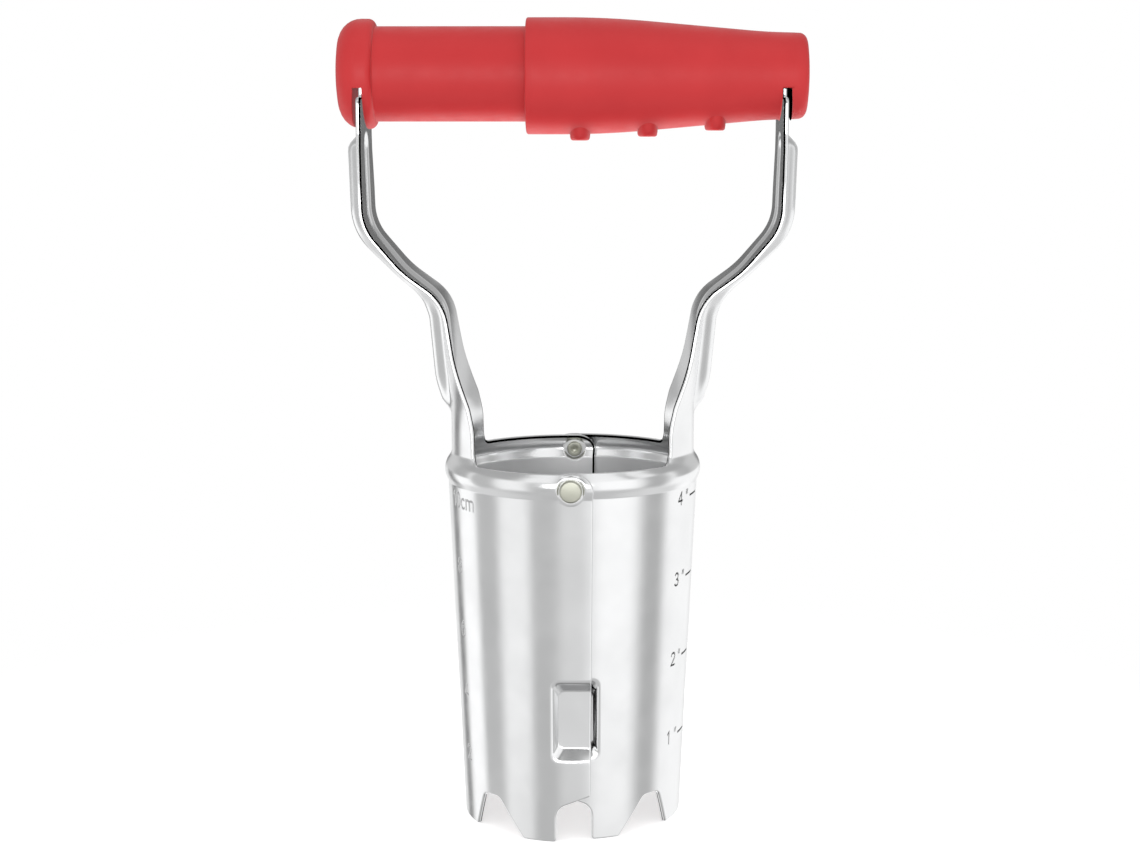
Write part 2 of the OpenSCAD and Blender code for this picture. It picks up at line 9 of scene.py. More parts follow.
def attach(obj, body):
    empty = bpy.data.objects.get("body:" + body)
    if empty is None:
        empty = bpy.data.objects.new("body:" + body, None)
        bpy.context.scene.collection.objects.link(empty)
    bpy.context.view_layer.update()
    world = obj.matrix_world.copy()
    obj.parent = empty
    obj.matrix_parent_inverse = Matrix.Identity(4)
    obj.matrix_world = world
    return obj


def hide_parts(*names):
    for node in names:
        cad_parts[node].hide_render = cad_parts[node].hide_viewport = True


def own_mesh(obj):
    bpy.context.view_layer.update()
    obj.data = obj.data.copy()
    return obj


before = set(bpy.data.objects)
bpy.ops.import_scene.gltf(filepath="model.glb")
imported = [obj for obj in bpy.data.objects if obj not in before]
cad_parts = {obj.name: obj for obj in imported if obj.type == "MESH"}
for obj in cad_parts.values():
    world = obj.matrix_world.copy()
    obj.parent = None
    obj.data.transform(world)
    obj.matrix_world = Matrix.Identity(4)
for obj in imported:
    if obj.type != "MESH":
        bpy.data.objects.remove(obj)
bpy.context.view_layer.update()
MM = 0.001

# Sizes in millimetres, mostly those of the part's source
# Tube: a cone from the tooth tips to the crease below its shoulder, split into two jaws that lap
TIP_R = 34.2
TOP_R = 38.9
TUBE_H = 107.3
SHEET = 1.5
HALF = SHEET / 2
LAP_DEG = 10.0
LAP_SHIFT = 1.2
SEAM_BEND = 5.5
SEAM_ZONE_Y = 25.0

# Shoulder and lip
SHOULDER_RUN = 1.75
SHOULDER_RISE = 3.9
SHOULDER_BEND = 5.0
CREASE_BEND = 1.5
LIP_Z = 114.6

# Notches between the teeth, and the arch under the seam
NOTCH_W = 19.7
NOTCH_H = 11.8
NOTCH_FRONT = 8.4
NOTCH_SIDE = 4.8
NOTCH_BEND = 3.0
NOTCH_DEG = 42.5
ARCH_OUTER = 4.45
ARCH_INNER = 6.2
ARCH_H = 10.8
ARCH_SLOPE = 21.0
ARCH_BEND = 4.5
ARCH_END_Z = 14.0
SEAM_FOOT_BEND = 0.5
ARCH_FOOT_BEND = 0.9
TOOTH_BEND = 0.7

# Stop pocket across the seam, with steeper walls and a rounder rim than in the part's source
POCKET_Z = 38.5
POCKET_H = 25.4
POCKET_DEPTH = 2.9
POCKET_RAMP = 3.4
POCKET_SIDE = 1.6
POCKET_BEND = 2.5
POCKET_EASE = 0.2
POCKET_OUTER = 5.9
POCKET_INNER = 8.6

# Rivets and their seats
RIVET_Z = 110.0
RIVET_R = 1.9
RIVET_GAP = 0.05
RIVET_HEAD_R = 3.4
RIVET_HEAD_T = 1.4
RIVET_TAIL_R = 2.5
RIVET_TAIL_T = 1.8
DIMPLE_R = 1.15
DIMPLE_DEPTH = 0.55
HEAD_EDGE = 0.55
SEAT_R = 4.2
SEAT_Y = 39.1
SEAT_EASE = 0.35
INNER_SEAT_R = 3.6
INNER_SEAT_Y = 39.65

# Arm: its foot on the tube, its widths, and the corners and bends of its path
FOOT_MID = 37.1
FOOT_RISE = 4.2
FOOT_BEND = 4.5
FOOT_FILLET = 3.5
JOIN_Z = 124.0
ARM_FOOT_W = 45.2
ARM_SLIM_W = 34.4
ARM_TOP_W = 29.5
ARM_X = 64.0
ARM_LEAN = 0.7
JOIN_SHARE = 0.93
SLIM_FROM = 0.43
SLIM_TO = 0.83
KINK_Z = 130.5
NECK_X = 40.05
NECK_Z = 162.7
LOW_SLANT = 51.5
HIGH_SLANT = 39.2
SWAY_SHARE = 0.51
KINK_BEND = 17.0
NECK_BEND = 13.0
SWAY_BEND = 34.0
CROWN_BEND = 16.5
HEAD_BEND = 40.0
HEAD_DROP = 5.0

# How soon the foot's round section flattens on its way up the arm
SOON_SHARE = 0.39
SOON_RUN = 24.0
LATE_RUN = 72.0

# Bead pressed along the arm: lower at its foot and where it dips
BEAD_W = 12.5
BEAD_H = 4.2
BEAD_START = 3.0
BEAD_STOP = -1.2
BEAD_FOOT_SHARE = 0.5
BEAD_FOOT_RUN = 14.0
BEAD_DIP_SHARE = 0.55
DIP_SHARE = 0.5
DIP_BELOW = 13.0
DIP_ABOVE = 24.0

# Top of the arm: its head, its tongue in the grip, and the lug in the tongue's window
PLATE_Z = 214.2
HEAD_Z = 224.8
TONGUE_Z = 233.2
TONGUE_W = 14.0
TONGUE_ROOM = 0.45
HEAD_CORNER = 2.0
TONGUE_ROOT = 0.8
TONGUE_CORNER = 1.5
LUG_Z = 229.4
LUG_R = 1.5
LUG_LEN = 8.0
LUG_ROOM = 0.35
LUG_ROOT_SHARE = 0.7

# Grip: the inner moulding with its flange and tube
GRIP_Z = 231.9
GRIP_HALF = 72.0
FLANGE_R = 16.6
FLANGE_X = 60.0
FLANGE_BEND = 2.2
FLANGE_END_BEND = 7.0
DOME_RISE = 1.2
TUBE_R = 14.35
TUBE_END_X = -1.0
SPRING_BORE_R = 11.6

# Grip: the outer sleeve with its taper and the stub for the spring
SLEEVE_R = 17.6
SLEEVE_DROP = 0.6
SLEEVE_X = -14.2
SLEEVE_EDGE = 0.7
TAPER_X = 10.0
TAPER_BEND = 300.0
WAIST_X = 58.5
WAIST_R = 13.25
WAIST_BEND = 150.0
SLEEVE_END_R = 12.9
SLEEVE_END_BEND = 2.6
SLIDE_GAP = 0.08
STUB_R = 7.76
STUB_LEN = 5.0

# Finger ridges under the sleeve
RIDGE_X = 2.2
RIDGE_PITCH = 20.6
RIDGE_COUNT = 3
RIDGE_W = 6.1
RIDGE_STRAIGHT = 3.4
RIDGE_END = 4.9
RIDGE_OUT = 1.8
RIDGE_SUNK = 0.5

# Slot for the arm in the grip's underside
SLOT_Z = 227.6
SLOT_IN = 0.3
SLOT_OUT = 0.9
SLOT_FLARE = 1.3

# Return spring
SPRING_X0 = -57.0
SPRING_X1 = 26.16
SPRING_R = 10.6
WIRE_R = 0.9
TURNS = 12
SPRING_GAP = 0.3

# Rounding of the sheet's cut edges and of the moulded edges
RIM = 0.55
MOULD_RIM = 0.35

# Depth scale: how its strokes are pressed, where its zero lies, and where its marks stand round the tube
MARK_DEPTH = 0.24
MARK_HALF = 0.34
MARK_FLANK = 1.6
SCALE_ZERO = 2.3
CM = 10.0
INCH = 25.4
CM_DEG = -68.0
CM_TOP_DEG = -69.5
CM_TOP_LIFT = 1.0
CM_TEXT_H = 4.6
INCH_DEG = 57.4 - 180
INCH_SIGN_DEG = 64.4 - 180
INCH_TICK_DEG = (69.5 - 180, 80.0 - 180)
INCH_TEXT_H = 3.9

# The jaw's surface is laid out flat as (a, b): arc at this radius, and length along the sheet
ARC_R = 36.0


def smooth(t):
    t = np.clip(t, 0.0, 1.0)
    return t * t * (3 - 2 * t)


def unit(v):
    return v / np.maximum(np.linalg.norm(v, axis=-1, keepdims=True), 1e-12)


def circle(n):
    """n angles, evenly round a full turn."""
    return np.linspace(0, 2 * math.pi, n, endpoint=False)


def bent(corners, closed=False, step=0.4):
    """Path through [x, y, radius] corners, with its bends as arcs of about this step."""
    pts = [np.array(c[:2], float) for c in corners]
    out = []
    n = len(pts)
    for i, c in enumerate(pts):
        r = corners[i][2]
        if r == 0 or (not closed and i in (0, n - 1)):
            out.append(c)
            continue
        u, v = unit(pts[i - 1] - c), unit(pts[(i + 1) % n] - c)
        half = math.acos(max(-1, min(1, float(u @ v)))) / 2
        if abs(half - math.pi / 2) < 1e-6:
            out.append(c)
            continue
        centre = c + unit(u + v) * r / math.sin(half)
        a, b = c + u * r / math.tan(half) - centre, c + v * r / math.tan(half) - centre
        start = math.atan2(a[1], a[0])
        turn = (math.atan2(b[1], b[0]) - start + 3 * math.pi) % (2 * math.pi) - math.pi
        count = max(3, math.ceil(abs(turn) * r / step))
        for k in range(count + 1):
            t = start + turn * k / count
            out.append(centre + r * np.array([math.cos(t), math.sin(t)]))
    return np.array(out)


def run_of(path):
    return np.concatenate([[0], np.cumsum(np.linalg.norm(np.diff(path, axis=0), axis=1))])


def path_at(path, run, s):
    """Both coordinates of a path at the length s along it."""
    return np.interp(s, run, path[:, 0]), np.interp(s, run, path[:, 1])


def resample(path, step, closed=False):
    """The same path with no stretch longer than step. Its own points are kept."""
    out = []
    count = len(path) if closed else len(path) - 1
    for i in range(count):
        a, b = path[i], path[(i + 1) % len(path)]
        n = max(1, math.ceil(np.linalg.norm(b - a) / step - 1e-9))
        out += [a + (b - a) * k / n for k in range(n)]
    if not closed:
        out.append(path[-1])
    keep = [p for i, p in enumerate(out) if i == 0 or np.linalg.norm(p - out[i - 1]) > 1e-4]
    if closed and np.linalg.norm(keep[0] - keep[-1]) < 1e-4:
        keep.pop()
    return np.array(keep)


def outward_2d(loop):
    """Unit vectors pointing out of a loop that runs anticlockwise, at each of its points."""
    d = unit(np.roll(loop, -1, axis=0) - loop)
    d = unit(d + np.roll(d, 1, axis=0))
    return np.stack([d[:, 1], -d[:, 0]], axis=1)


def edge_out(loop, n, pa, pb):
    """Unit vectors pointing out of a loop on a surface, from its normals and tangents there."""
    out = outward_2d(loop)
    m = pa * out[:, :1] + pb * out[:, 1:]
    return unit(m - n * np.sum(m * n, -1, keepdims=True))


def inside_loop(points, loop):
    """Which points lie inside a closed loop."""
    x, y = points[:, :1], points[:, 1:]
    x0, y0 = loop.T
    x1, y1 = np.roll(x0, -1), np.roll(y0, -1)
    run = np.where(y1 == y0, 1e-12, y1 - y0)
    crossed = ((y0 > y) != (y1 > y)) & (x < x0 + (y - y0) * (x1 - x0) / run)
    return crossed.sum(axis=1) % 2 == 1


def triangulate(loops, points, clear):
    """Triangles inside the first loop and outside the others, through the points that keep clear."""
    rim = np.concatenate(loops)
    tree = kdtree.KDTree(len(rim))
    for i, p in enumerate(rim):
        tree.insert((p[0], p[1], 0), i)
    tree.balance()
    points = np.array([p for p in points if tree.find((p[0], p[1], 0))[2] > clear])
    verts = np.concatenate([rim, points]) if len(points) else rim
    edges, base = [], 0
    for loop in loops:
        n = len(loop)
        edges += [(base + i, base + (i + 1) % n) for i in range(n)]
        base += n
    res = delaunay_2d_cdt([Vector(v) for v in verts], edges, [], 2, 1e-6)
    to_in = np.array([o[0] if o else -1 for o in res[3]])
    tris = np.array([f for f in res[2] if len(f) == 3])
    tris = to_in[tris]
    tris = tris[(tris >= 0).all(axis=1)]
    p = verts[tris]
    area = np.cross(p[:, 1] - p[:, 0], p[:, 2] - p[:, 0])
    tris[area < 0] = tris[area < 0][:, ::-1]
    keep = np.abs(area) > 1e-9
    for hole in loops[1:]:
        keep &= ~inside_loop(p.mean(axis=1), hole)
    return verts, tris[keep]


class Skin:
    """Vertices with their own normals, and faces, gathered into one mesh."""

    def __init__(self):
        self.v, self.n, self.f, self.slots, self.count = [], [], [], [], 0

    def add(self, verts, normals):
        start = self.count
        self.v.append(np.asarray(verts, float))
        self.n.append(np.asarray(normals, float))
        self.count += len(verts)
        return np.arange(start, self.count)

    def faces(self, idx, slot=0):
        self.f += [tuple(int(i) for i in f) for f in idx]
        self.slots += [slot] * len(idx)

    def strips(self, *rows):
        """Quads between each of these closed rows of vertices and the next."""
        for a, b in zip(rows, rows[1:]):
            n = len(a)
            self.faces([(a[i], a[(i + 1) % n], b[(i + 1) % n], b[i]) for i in range(n)])

    def flat(self, corners):
        """One flat face with its own vertices."""
        c = np.asarray(corners, float)
        n = unit(np.cross(c[1] - c[0], c[2] - c[0]))
        self.faces([self.add(c, np.repeat(n[None], len(c), 0))])

    def turned(self, matrix):
        out = Skin()
        v, n = np.concatenate(self.v), np.concatenate(self.n)
        out.add(v @ matrix.T, n @ matrix.T)
        out.f, out.slots = list(self.f), list(self.slots)
        return out

    def moved(self, shift):
        self.v = [v + np.asarray(shift, float) for v in self.v]
        return self

    def join(self, other):
        start = self.count
        self.add(np.concatenate(other.v), np.concatenate(other.n))
        self.f += [tuple(i + start for i in f) for f in other.f]
        self.slots += other.slots

    def make(self, name, *materials):
        v, n = np.concatenate(self.v) * MM, unit(np.concatenate(self.n))
        used = np.zeros(len(v), bool)
        for f in self.f:
            used[list(f)] = True
        index = np.cumsum(used) - 1
        mesh = bpy.data.meshes.new(name)
        mesh.from_pydata(v[used].tolist(), [], [[int(index[i]) for i in f] for f in self.f])
        mesh.polygons.foreach_set("use_smooth", np.ones(len(mesh.polygons), bool))
        for material in materials:
            mesh.materials.append(material)
        mesh.polygons.foreach_set("material_index", self.slots)
        mesh.normals_split_custom_set_from_vertices(n[used].tolist())
        obj = bpy.data.objects.new(name, mesh)
        bpy.context.scene.collection.objects.link(obj)
        return obj


def lathe(profile, segments=96, sharp_deg=25.0):
    """A turned skin about +Z from (radius, height) points. Corners sharper than sharp_deg stay crisp."""
    skin = Skin()
    d = unit(np.diff(profile, axis=0))
    normal = np.stack([d[:, 1], -d[:, 0]], axis=1)
    angle = circle(segments)
    c, s = np.cos(angle), np.sin(angle)

    def ring(p, n):
        return skin.add(np.stack([p[0] * c, p[0] * s, np.full(segments, p[1])], 1),
                        np.stack([n[0] * c, n[0] * s, np.full(segments, n[1])], 1))

    limit = math.cos(math.radians(sharp_deg))
    low = ring(profile[0], normal[0])
    for i in range(len(d)):
        last = i == len(d) - 1
        soft = not last and normal[i] @ normal[i + 1] > limit
        high = ring(profile[i + 1], unit(normal[i] + normal[i + 1]) if soft else normal[i])
        skin.strips(low, high)
        low = high if soft or last else ring(profile[i + 1], normal[i + 1])
    return skin


# The middle line of one jaw's sheet, from the tooth tips to the tongue in the grip
def wall_r(z):
    return TIP_R + (TOP_R - TIP_R) * z / TUBE_H


crown_x = ARM_X - ARM_LEAN
sway_x = NECK_X + (crown_x - NECK_X) * SWAY_SHARE
sway_z = NECK_Z + (sway_x - NECK_X) / math.tan(math.radians(LOW_SLANT))
crown_z = sway_z + (crown_x - sway_x) / math.tan(math.radians(HIGH_SLANT))
sheet_path = resample(bent([
    [wall_r(0) - HALF, 0, 0],
    [TOP_R - HALF, TUBE_H, CREASE_BEND],
    [TOP_R - HALF + SHOULDER_RUN, TUBE_H + SHOULDER_RISE, SHOULDER_BEND],
    [FOOT_MID, TUBE_H + SHOULDER_RISE + FOOT_RISE, FOOT_BEND],
    [FOOT_MID, KINK_Z, KINK_BEND],
    [NECK_X, NECK_Z, NECK_BEND],
    [sway_x, sway_z, SWAY_BEND],
    [crown_x, crown_z, CROWN_BEND],
    [ARM_X, PLATE_Z - HEAD_DROP, HEAD_BEND],
    [ARM_X, TONGUE_Z, 0]], step=0.03), 0.2)
path_s = run_of(sheet_path)


def s_at(z):
    return np.interp(z, sheet_path[:, 1], path_s)


S_CREASE, S_LIP, S_JOIN, S_PLATE, S_TOP = (float(s_at(z)) for z in (TUBE_H, LIP_Z, JOIN_Z, PLATE_Z, TONGUE_Z))
ARM_LEN = S_PLATE - S_JOIN
JOIN_HALF = ARM_SLIM_W / 2 + (ARM_FOOT_W - ARM_SLIM_W) / 2 * JOIN_SHARE


def arm_half(s):
    """Half of the arm's width at the length s along the sheet."""
    foot = ARM_FOOT_W / 2 + (JOIN_HALF - ARM_FOOT_W / 2) * (s - S_LIP) / (S_JOIN - S_LIP)
    slim = ARM_SLIM_W / 2
    share = (s - S_JOIN) / ARM_LEN
    free = np.interp(share, [0, SLIM_FROM, SLIM_TO, 1], [JOIN_HALF, slim, slim, ARM_TOP_W / 2])
    return np.where(s < S_JOIN, foot, free)


def eased(t):
    """0 below 0 and 1 above 1, straight between them, with both corners bent."""
    def up(t):
        return np.where(t > POCKET_EASE, t, np.maximum(t + POCKET_EASE, 0) ** 2 / (4 * POCKET_EASE))
    return up(t) - up(t - 1)


def pocket_share(x, z, reach):
    """How deep the stop pocket is at a point of the wall, from 0 outside its rim to 1 on its floor."""
    u, v = x + reach, POCKET_H / 2 - np.abs(z - POCKET_Z)
    share = np.minimum(u / POCKET_SIDE, v / POCKET_RAMP)
    # in a corner, the share at which the corner's arc passes through the point
    p, q = u - POCKET_BEND, v - POCKET_BEND
    lead, size = p * POCKET_SIDE + q * POCKET_RAMP, POCKET_SIDE ** 2 + POCKET_RAMP ** 2
    arc = (lead + np.sqrt(np.maximum(lead ** 2 - size * (p * p + q * q - POCKET_BEND ** 2), 0))) / size
    corner = (p < POCKET_SIDE * arc) & (q < POCKET_RAMP * arc)
    return eased(np.where(corner, arc, share))


def jaw_middle(a, b):
    """The middle of the left jaw's sheet, before it is set off towards the front."""
    psi = a / ARC_R
    r, z = path_at(sheet_path, path_s, b)
    e = 0.05
    r0, z0 = path_at(sheet_path, path_s, b - e)
    r1, z1 = path_at(sheet_path, path_s, b + e)
    tr, tz = r1 - r0, z1 - z0
    size = np.maximum(np.hypot(tr, tz), 1e-9)
    tr, tz = tr / size, tz / size

    x, y = -r * np.cos(psi), r * np.sin(psi)
    tube = np.stack([x, y, z], -1)
    outer_seam = (-1, POCKET_OUTER, SEAT_R, SEAT_Y)
    inner_seam = (1, POCKET_INNER, INNER_SEAT_R, INNER_SEAT_Y)
    for side, reach, seat_r, seat_y in (outer_seam, inner_seam):
        # only the part of the tube round this seam is worked
        near = (side * y > SEAM_ZONE_Y) & (b < S_JOIN)
        floor = side * (wall_r(POCKET_Z) - POCKET_DEPTH - HALF)
        share = pocket_share(x, z, reach) * near
        tube[..., 1] += (floor - tube[..., 1]) * share
        seat = 1 - smooth((np.hypot(x, z - RIVET_Z) - seat_r + SEAT_EASE) / (2 * SEAT_EASE))
        tube[..., 1] += (side * (seat_y - HALF) - tube[..., 1]) * seat * near

    s = b - S_JOIN
    ya = FOOT_MID * np.sin(psi)
    flatter = SOON_SHARE * smooth(s / SOON_RUN) + (1 - SOON_SHARE) * smooth(s / LATE_RUN)
    bow = np.maximum((1 - flatter) / FOOT_MID, 1e-5)
    half = BEAD_W / 2
    off_end = np.maximum(np.maximum(BEAD_START + half - s, s - (ARM_LEN - BEAD_STOP - half)), 0)
    d = np.clip(np.hypot(off_end, ya) / half, 0, 1)
    past_dip = s - ARM_LEN * DIP_SHARE
    dip = smooth(1 - np.where(past_dip < 0, -past_dip / DIP_BELOW, past_dip / DIP_ABOVE))
    end = 1 - smooth((s - BEAD_START) / BEAD_FOOT_RUN)
    crest = BEAD_H * (1 - (1 - BEAD_FOOT_SHARE) * end - (1 - BEAD_DIP_SHARE) * dip)
    bead = crest * (0.5 + 0.5 * np.cos(math.pi * d))
    off = np.sqrt(np.maximum(bow ** -2 - ya ** 2, 0)) - 1 / bow + bead
    arm = np.stack([-(r + tz * off), ya, z - tr * off], -1)
    return np.where((b > S_JOIN)[..., None], arm, tube)


def jaw_frame(a, b):
    """Points of the sheet's middle with their outward normals and both tangents."""
    e = 0.04
    p = jaw_middle(a, b)
    pa = (jaw_middle(a + e, b) - jaw_middle(a - e, b)) / (2 * e)
    pb = (jaw_middle(a, np.minimum(b + e, S_TOP)) - jaw_middle(a, np.maximum(b - e, 0))) / (2 * e)
    return p, unit(np.cross(pb, pa)), pa, pb


# Outline of the sheet, laid flat. phi is the angle round the tube from the front, towards +X.
def flat(phi_deg, z):
    return [math.radians(-90 - phi_deg) * ARC_R, float(s_at(z))]


def beside(middle_deg, u, z, bend):
    """A corner of the outline at the height z, by u to the right of an angle round the tube."""
    return [*flat(middle_deg + math.degrees(math.asin(u / (wall_r(z) - HALF))), z), bend]


def seam_end(arch_w):
    """Corners of the outline from the seam's edge to the first notch, at the front."""
    slope = math.tan(math.radians(ARCH_SLOPE))
    u = (wall_r(ARCH_END_Z) - HALF) * math.sin(math.radians(LAP_DEG))
    w = NOTCH_W / 2
    notch = -NOTCH_DEG
    return [
        [*flat(LAP_DEG, ARCH_H + (u + arch_w) * slope), SEAM_FOOT_BEND],
        beside(0, -arch_w, ARCH_H, ARCH_BEND),
        beside(0, -arch_w, 0, ARCH_FOOT_BEND),
        beside(notch, w, 0, TOOTH_BEND),
        beside(notch, w - NOTCH_FRONT, NOTCH_H, NOTCH_BEND),
        beside(notch, NOTCH_SIDE - w, NOTCH_H, NOTCH_BEND),
        beside(notch, -w, 0, TOOTH_BEND)]


def mirrored(corners):
    return [[-c[0], *c[1:]] for c in reversed(corners)]


def arm_edge():
    """Corners of the outline up the arm's edge on the +Y side, from the lip to the tongue."""
    def across(y, s, bend):
        return [math.asin(y / FOOT_MID) * ARC_R, float(s), bend]

    s_head, tongue = s_at(HEAD_Z), TONGUE_W / 2
    edge = [across(arm_half(S_LIP), S_LIP, FOOT_FILLET)]
    edge += [across(arm_half(s), s, 0) for s in np.linspace(S_JOIN, S_PLATE, 41)]
    edge.append(across(ARM_TOP_W / 2, s_head, HEAD_CORNER))
    edge.append(across(tongue, s_head, TONGUE_ROOT))
    edge.append(across(tongue, S_TOP, TONGUE_CORNER))
    return edge


seam_top = [*flat(LAP_DEG, LIP_Z), SEAM_BEND]
outline = bent(seam_end(ARCH_OUTER) + mirrored(seam_end(ARCH_INNER)) + mirrored([seam_top])
               + arm_edge() + mirrored(arm_edge()) + [seam_top], closed=True)
outline = resample(outline, 0.8, closed=True)
window_w, window_h = LUG_LEN / 2 + LUG_ROOM, LUG_R + LUG_ROOM
window = resample(bent([[sx * math.asin(window_w / FOOT_MID) * ARC_R, float(s_at(LUG_Z + sz * window_h)), 0.3]
                        for sx, sz in ((-1, -1), (1, -1), (1, 1), (-1, 1))], closed=True), 0.6, closed=True)


# Strokes of the depth scale: polylines in a box as wide as noted and one unit high
def arc(cx, cy, rx, ry, start, stop, n=14):
    t = np.radians(np.linspace(start, stop, n))
    return np.stack([cx + rx * np.cos(t), cy + ry * np.sin(t)], 1).tolist()


GLYPHS = {
    "0": (0.56, [arc(0.28, 0.5, 0.28, 0.5, 0, 360, 24)]),
    "1": (0.3, [[[0, 0.78], [0.22, 1], [0.22, 0]]]),
    "2": (0.56, [arc(0.28, 0.72, 0.27, 0.28, 165, -35) + [[0, 0], [0.56, 0]]]),
    "3": (0.54, [arc(0.26, 0.75, 0.24, 0.25, 150, -90) + arc(0.26, 0.25, 0.28, 0.25, 90, -150)]),
    "4": (0.6, [[[0.44, 0], [0.44, 1], [0, 0.3], [0.6, 0.3]]]),
    "6": (0.56, [arc(0.5, 0.32, 0.5, 0.68, 100, 180) + arc(0.28, 0.3, 0.28, 0.3, 180, 540, 22)]),
    "8": (0.56, [arc(0.28, 0.76, 0.23, 0.24, 0, 360, 20), arc(0.28, 0.26, 0.28, 0.26, 0, 360, 22)]),
    "c": (0.46, [arc(0.25, 0.33, 0.24, 0.33, 50, 310)]),
    "m": (0.84, [[[0, 0], [0, 0.66]],
                 arc(0.21, 0.46, 0.21, 0.2, 180, 0, 9) + [[0.42, 0]],
                 arc(0.63, 0.46, 0.21, 0.2, 180, 0, 9) + [[0.84, 0]]]),
    '"': (0.3, [[[0.1, 1.04], [0.04, 0.78]], [[0.3, 1.04], [0.24, 0.78]]]),
}


def label(text, phi_deg, z, height):
    """Strokes of a label laid flat: its left end at phi, its middle height at z."""
    left = flat(phi_deg, z)
    strokes, x = [], 0.0
    for ch in text:
        width, lines = GLYPHS[ch]
        for line in map(np.array, lines):
            # phi grows towards the right, and the flat layout's a shrinks that way
            strokes.append(np.stack([left[0] - (x + line[:, 0] * height) * ARC_R / (wall_r(z) - HALF),
                                     left[1] + (line[:, 1] - 0.5) * height], 1))
        x += (width + 0.2) * height
    return strokes


def scale_strokes():
    """Both scales of the left jaw: centimetres at its front, inches at its back."""
    labels = []
    for cm in (2, 4, 6, 8):
        labels.append(label(str(cm), CM_DEG, SCALE_ZERO + CM * cm, CM_TEXT_H))
    labels.append(label("10cm", CM_TOP_DEG, SCALE_ZERO + CM * 10 + CM_TOP_LIFT, CM_TEXT_H))
    for inch in (1, 2, 3, 4):
        z = SCALE_ZERO + INCH * inch
        number = label(str(inch), INCH_DEG, z, INCH_TEXT_H)
        sign = label('"', INCH_SIGN_DEG, z, INCH_TEXT_H)
        tick = np.array([flat(deg, z) for deg in INCH_TICK_DEG])
        labels.append(number + sign + [tick])
    for strokes in labels:
        for line in strokes:
            # keep the flat layout's angle between -180 and 180 degrees
            line[:, 0] = (line[:, 0] + math.pi * ARC_R) % (2 * math.pi * ARC_R) - math.pi * ARC_R
    return labels


scale_labels = scale_strokes()
mark_lines = [line for strokes in scale_labels for line in strokes]
mark_ends = np.concatenate([np.concatenate([line[:-1], line[1:]], axis=1) for line in mark_lines])


def mark_depth(a, b):
    """Depth of the pressed strokes at points laid flat."""
    best = np.full(a.shape, 9.0)
    p = np.stack([a, b], -1)
    for x0, y0, x1, y1 in mark_ends:
        near = (a > min(x0, x1) - 1) & (a < max(x0, x1) + 1) & (b > min(y0, y1) - 1) & (b < max(y0, y1) + 1)
        if not near.any():
            continue
        q = p[near]
        d = np.array([x1 - x0, y1 - y0])
        t = np.clip(((q - [x0, y0]) @ d) / max(d @ d, 1e-12), 0, 1)
        best[near] = np.minimum(best[near], np.linalg.norm(q - ([x0, y0] + t[:, None] * d), axis=1))
    return MARK_DEPTH * smooth((MARK_HALF - best) / MARK_HALF * MARK_FLANK)


def grid_of(a, b):
    """Every pair of one of the values a and one of the values b, as points."""
    return np.stack([g.ravel() for g in np.meshgrid(a, b)], 1)


def lattice(a0, a1, da, b):
    """Points from a0 to a1, about da apart, at each of the heights b."""
    return grid_of(np.linspace(a0, a1, max(2, int(round((a1 - a0) / da)) + 1)), b)


def outside_box(points, low, high):
    return points[~((points > low) & (points < high)).all(axis=1)]


def levels(*stretches):
    """Heights along the sheet: (from, to, step) one after another."""
    return np.concatenate([np.arange(s0, s1, step) for s0, s1, step in stretches])


def jaw_points(with_marks):
    """Points inside the outline: a base grid, with closer ones where the sheet is worked."""
    wide = math.radians(90 + LAP_DEG) * ARC_R
    base = lattice(-wide, wide, 1.5, levels((0.9, S_CREASE - 2, 2.2), (S_CREASE - 2, S_LIP, 0.4)))
    foot = lattice(-26, 26, 1.2, levels((S_LIP + 0.2, S_JOIN, 1.2)))
    arm = lattice(-24, 24, 0.75, levels((S_JOIN, S_TOP, 1.1)))
    arm = arm[np.abs(FOOT_MID * np.sin(arm[:, 0] / ARC_R)) < arm_half(arm[:, 1]) + 1]
    grids, boxes, half = [], [], POCKET_H / 2
    ramp = levels((-half - 0.8, POCKET_RAMP - half + 0.8, 0.3))
    rows = np.concatenate([ramp, levels((ramp[-1] + 0.9, -ramp[-1], 0.9)), -ramp[::-1]]) + POCKET_Z
    for side, reach in ((-1, POCKET_OUTER), (1, POCKET_INNER)):
        wall = levels((-1.0, POCKET_SIDE + 0.6, 0.2), (POCKET_SIDE + 0.7, reach + 7.2, 0.7)) - reach
        across = np.sort(side * (math.pi / 2 + np.arcsin(wall / (wall_r(POCKET_Z) - HALF))) * ARC_R)
        grids.append(grid_of(across, s_at(rows)))
        mid = side * math.radians(90) * ARC_R
        boxes.append((mid - 6, mid + 6, float(s_at(RIVET_Z)) - 6, S_LIP, 0.3))
    if with_marks:
        for strokes in scale_labels:
            p = np.concatenate(strokes)
            lo, hi = p.min(0) - 0.7, p.max(0) + 0.7
            boxes.append((lo[0], hi[0], lo[1], hi[1], 0.17))
    grids += [lattice(a0, a1, step, levels((b0, b1, step))) for a0, a1, b0, b1, step in boxes]
    points = np.concatenate([base, foot, arm])
    for grid in grids:
        points = np.concatenate([outside_box(points, grid.min(0) - 0.1, grid.max(0) + 0.1), grid])
    return points


def rim_rows(skin, face_idx, p, n, m, turns, radius, half):
    """Rows of vertices round a sheet's edge, from a face's boundary to the middle of the edge."""
    rows = [face_idx]
    for t in np.radians(turns):
        at = p + m * radius * math.sin(t) + n * (half - radius + radius * math.cos(t))
        rows.append(skin.add(at, n * math.cos(t) + m * math.sin(t)))
    skin.strips(*rows)
    return rows[-1]


INSIDE_SLOT = 3


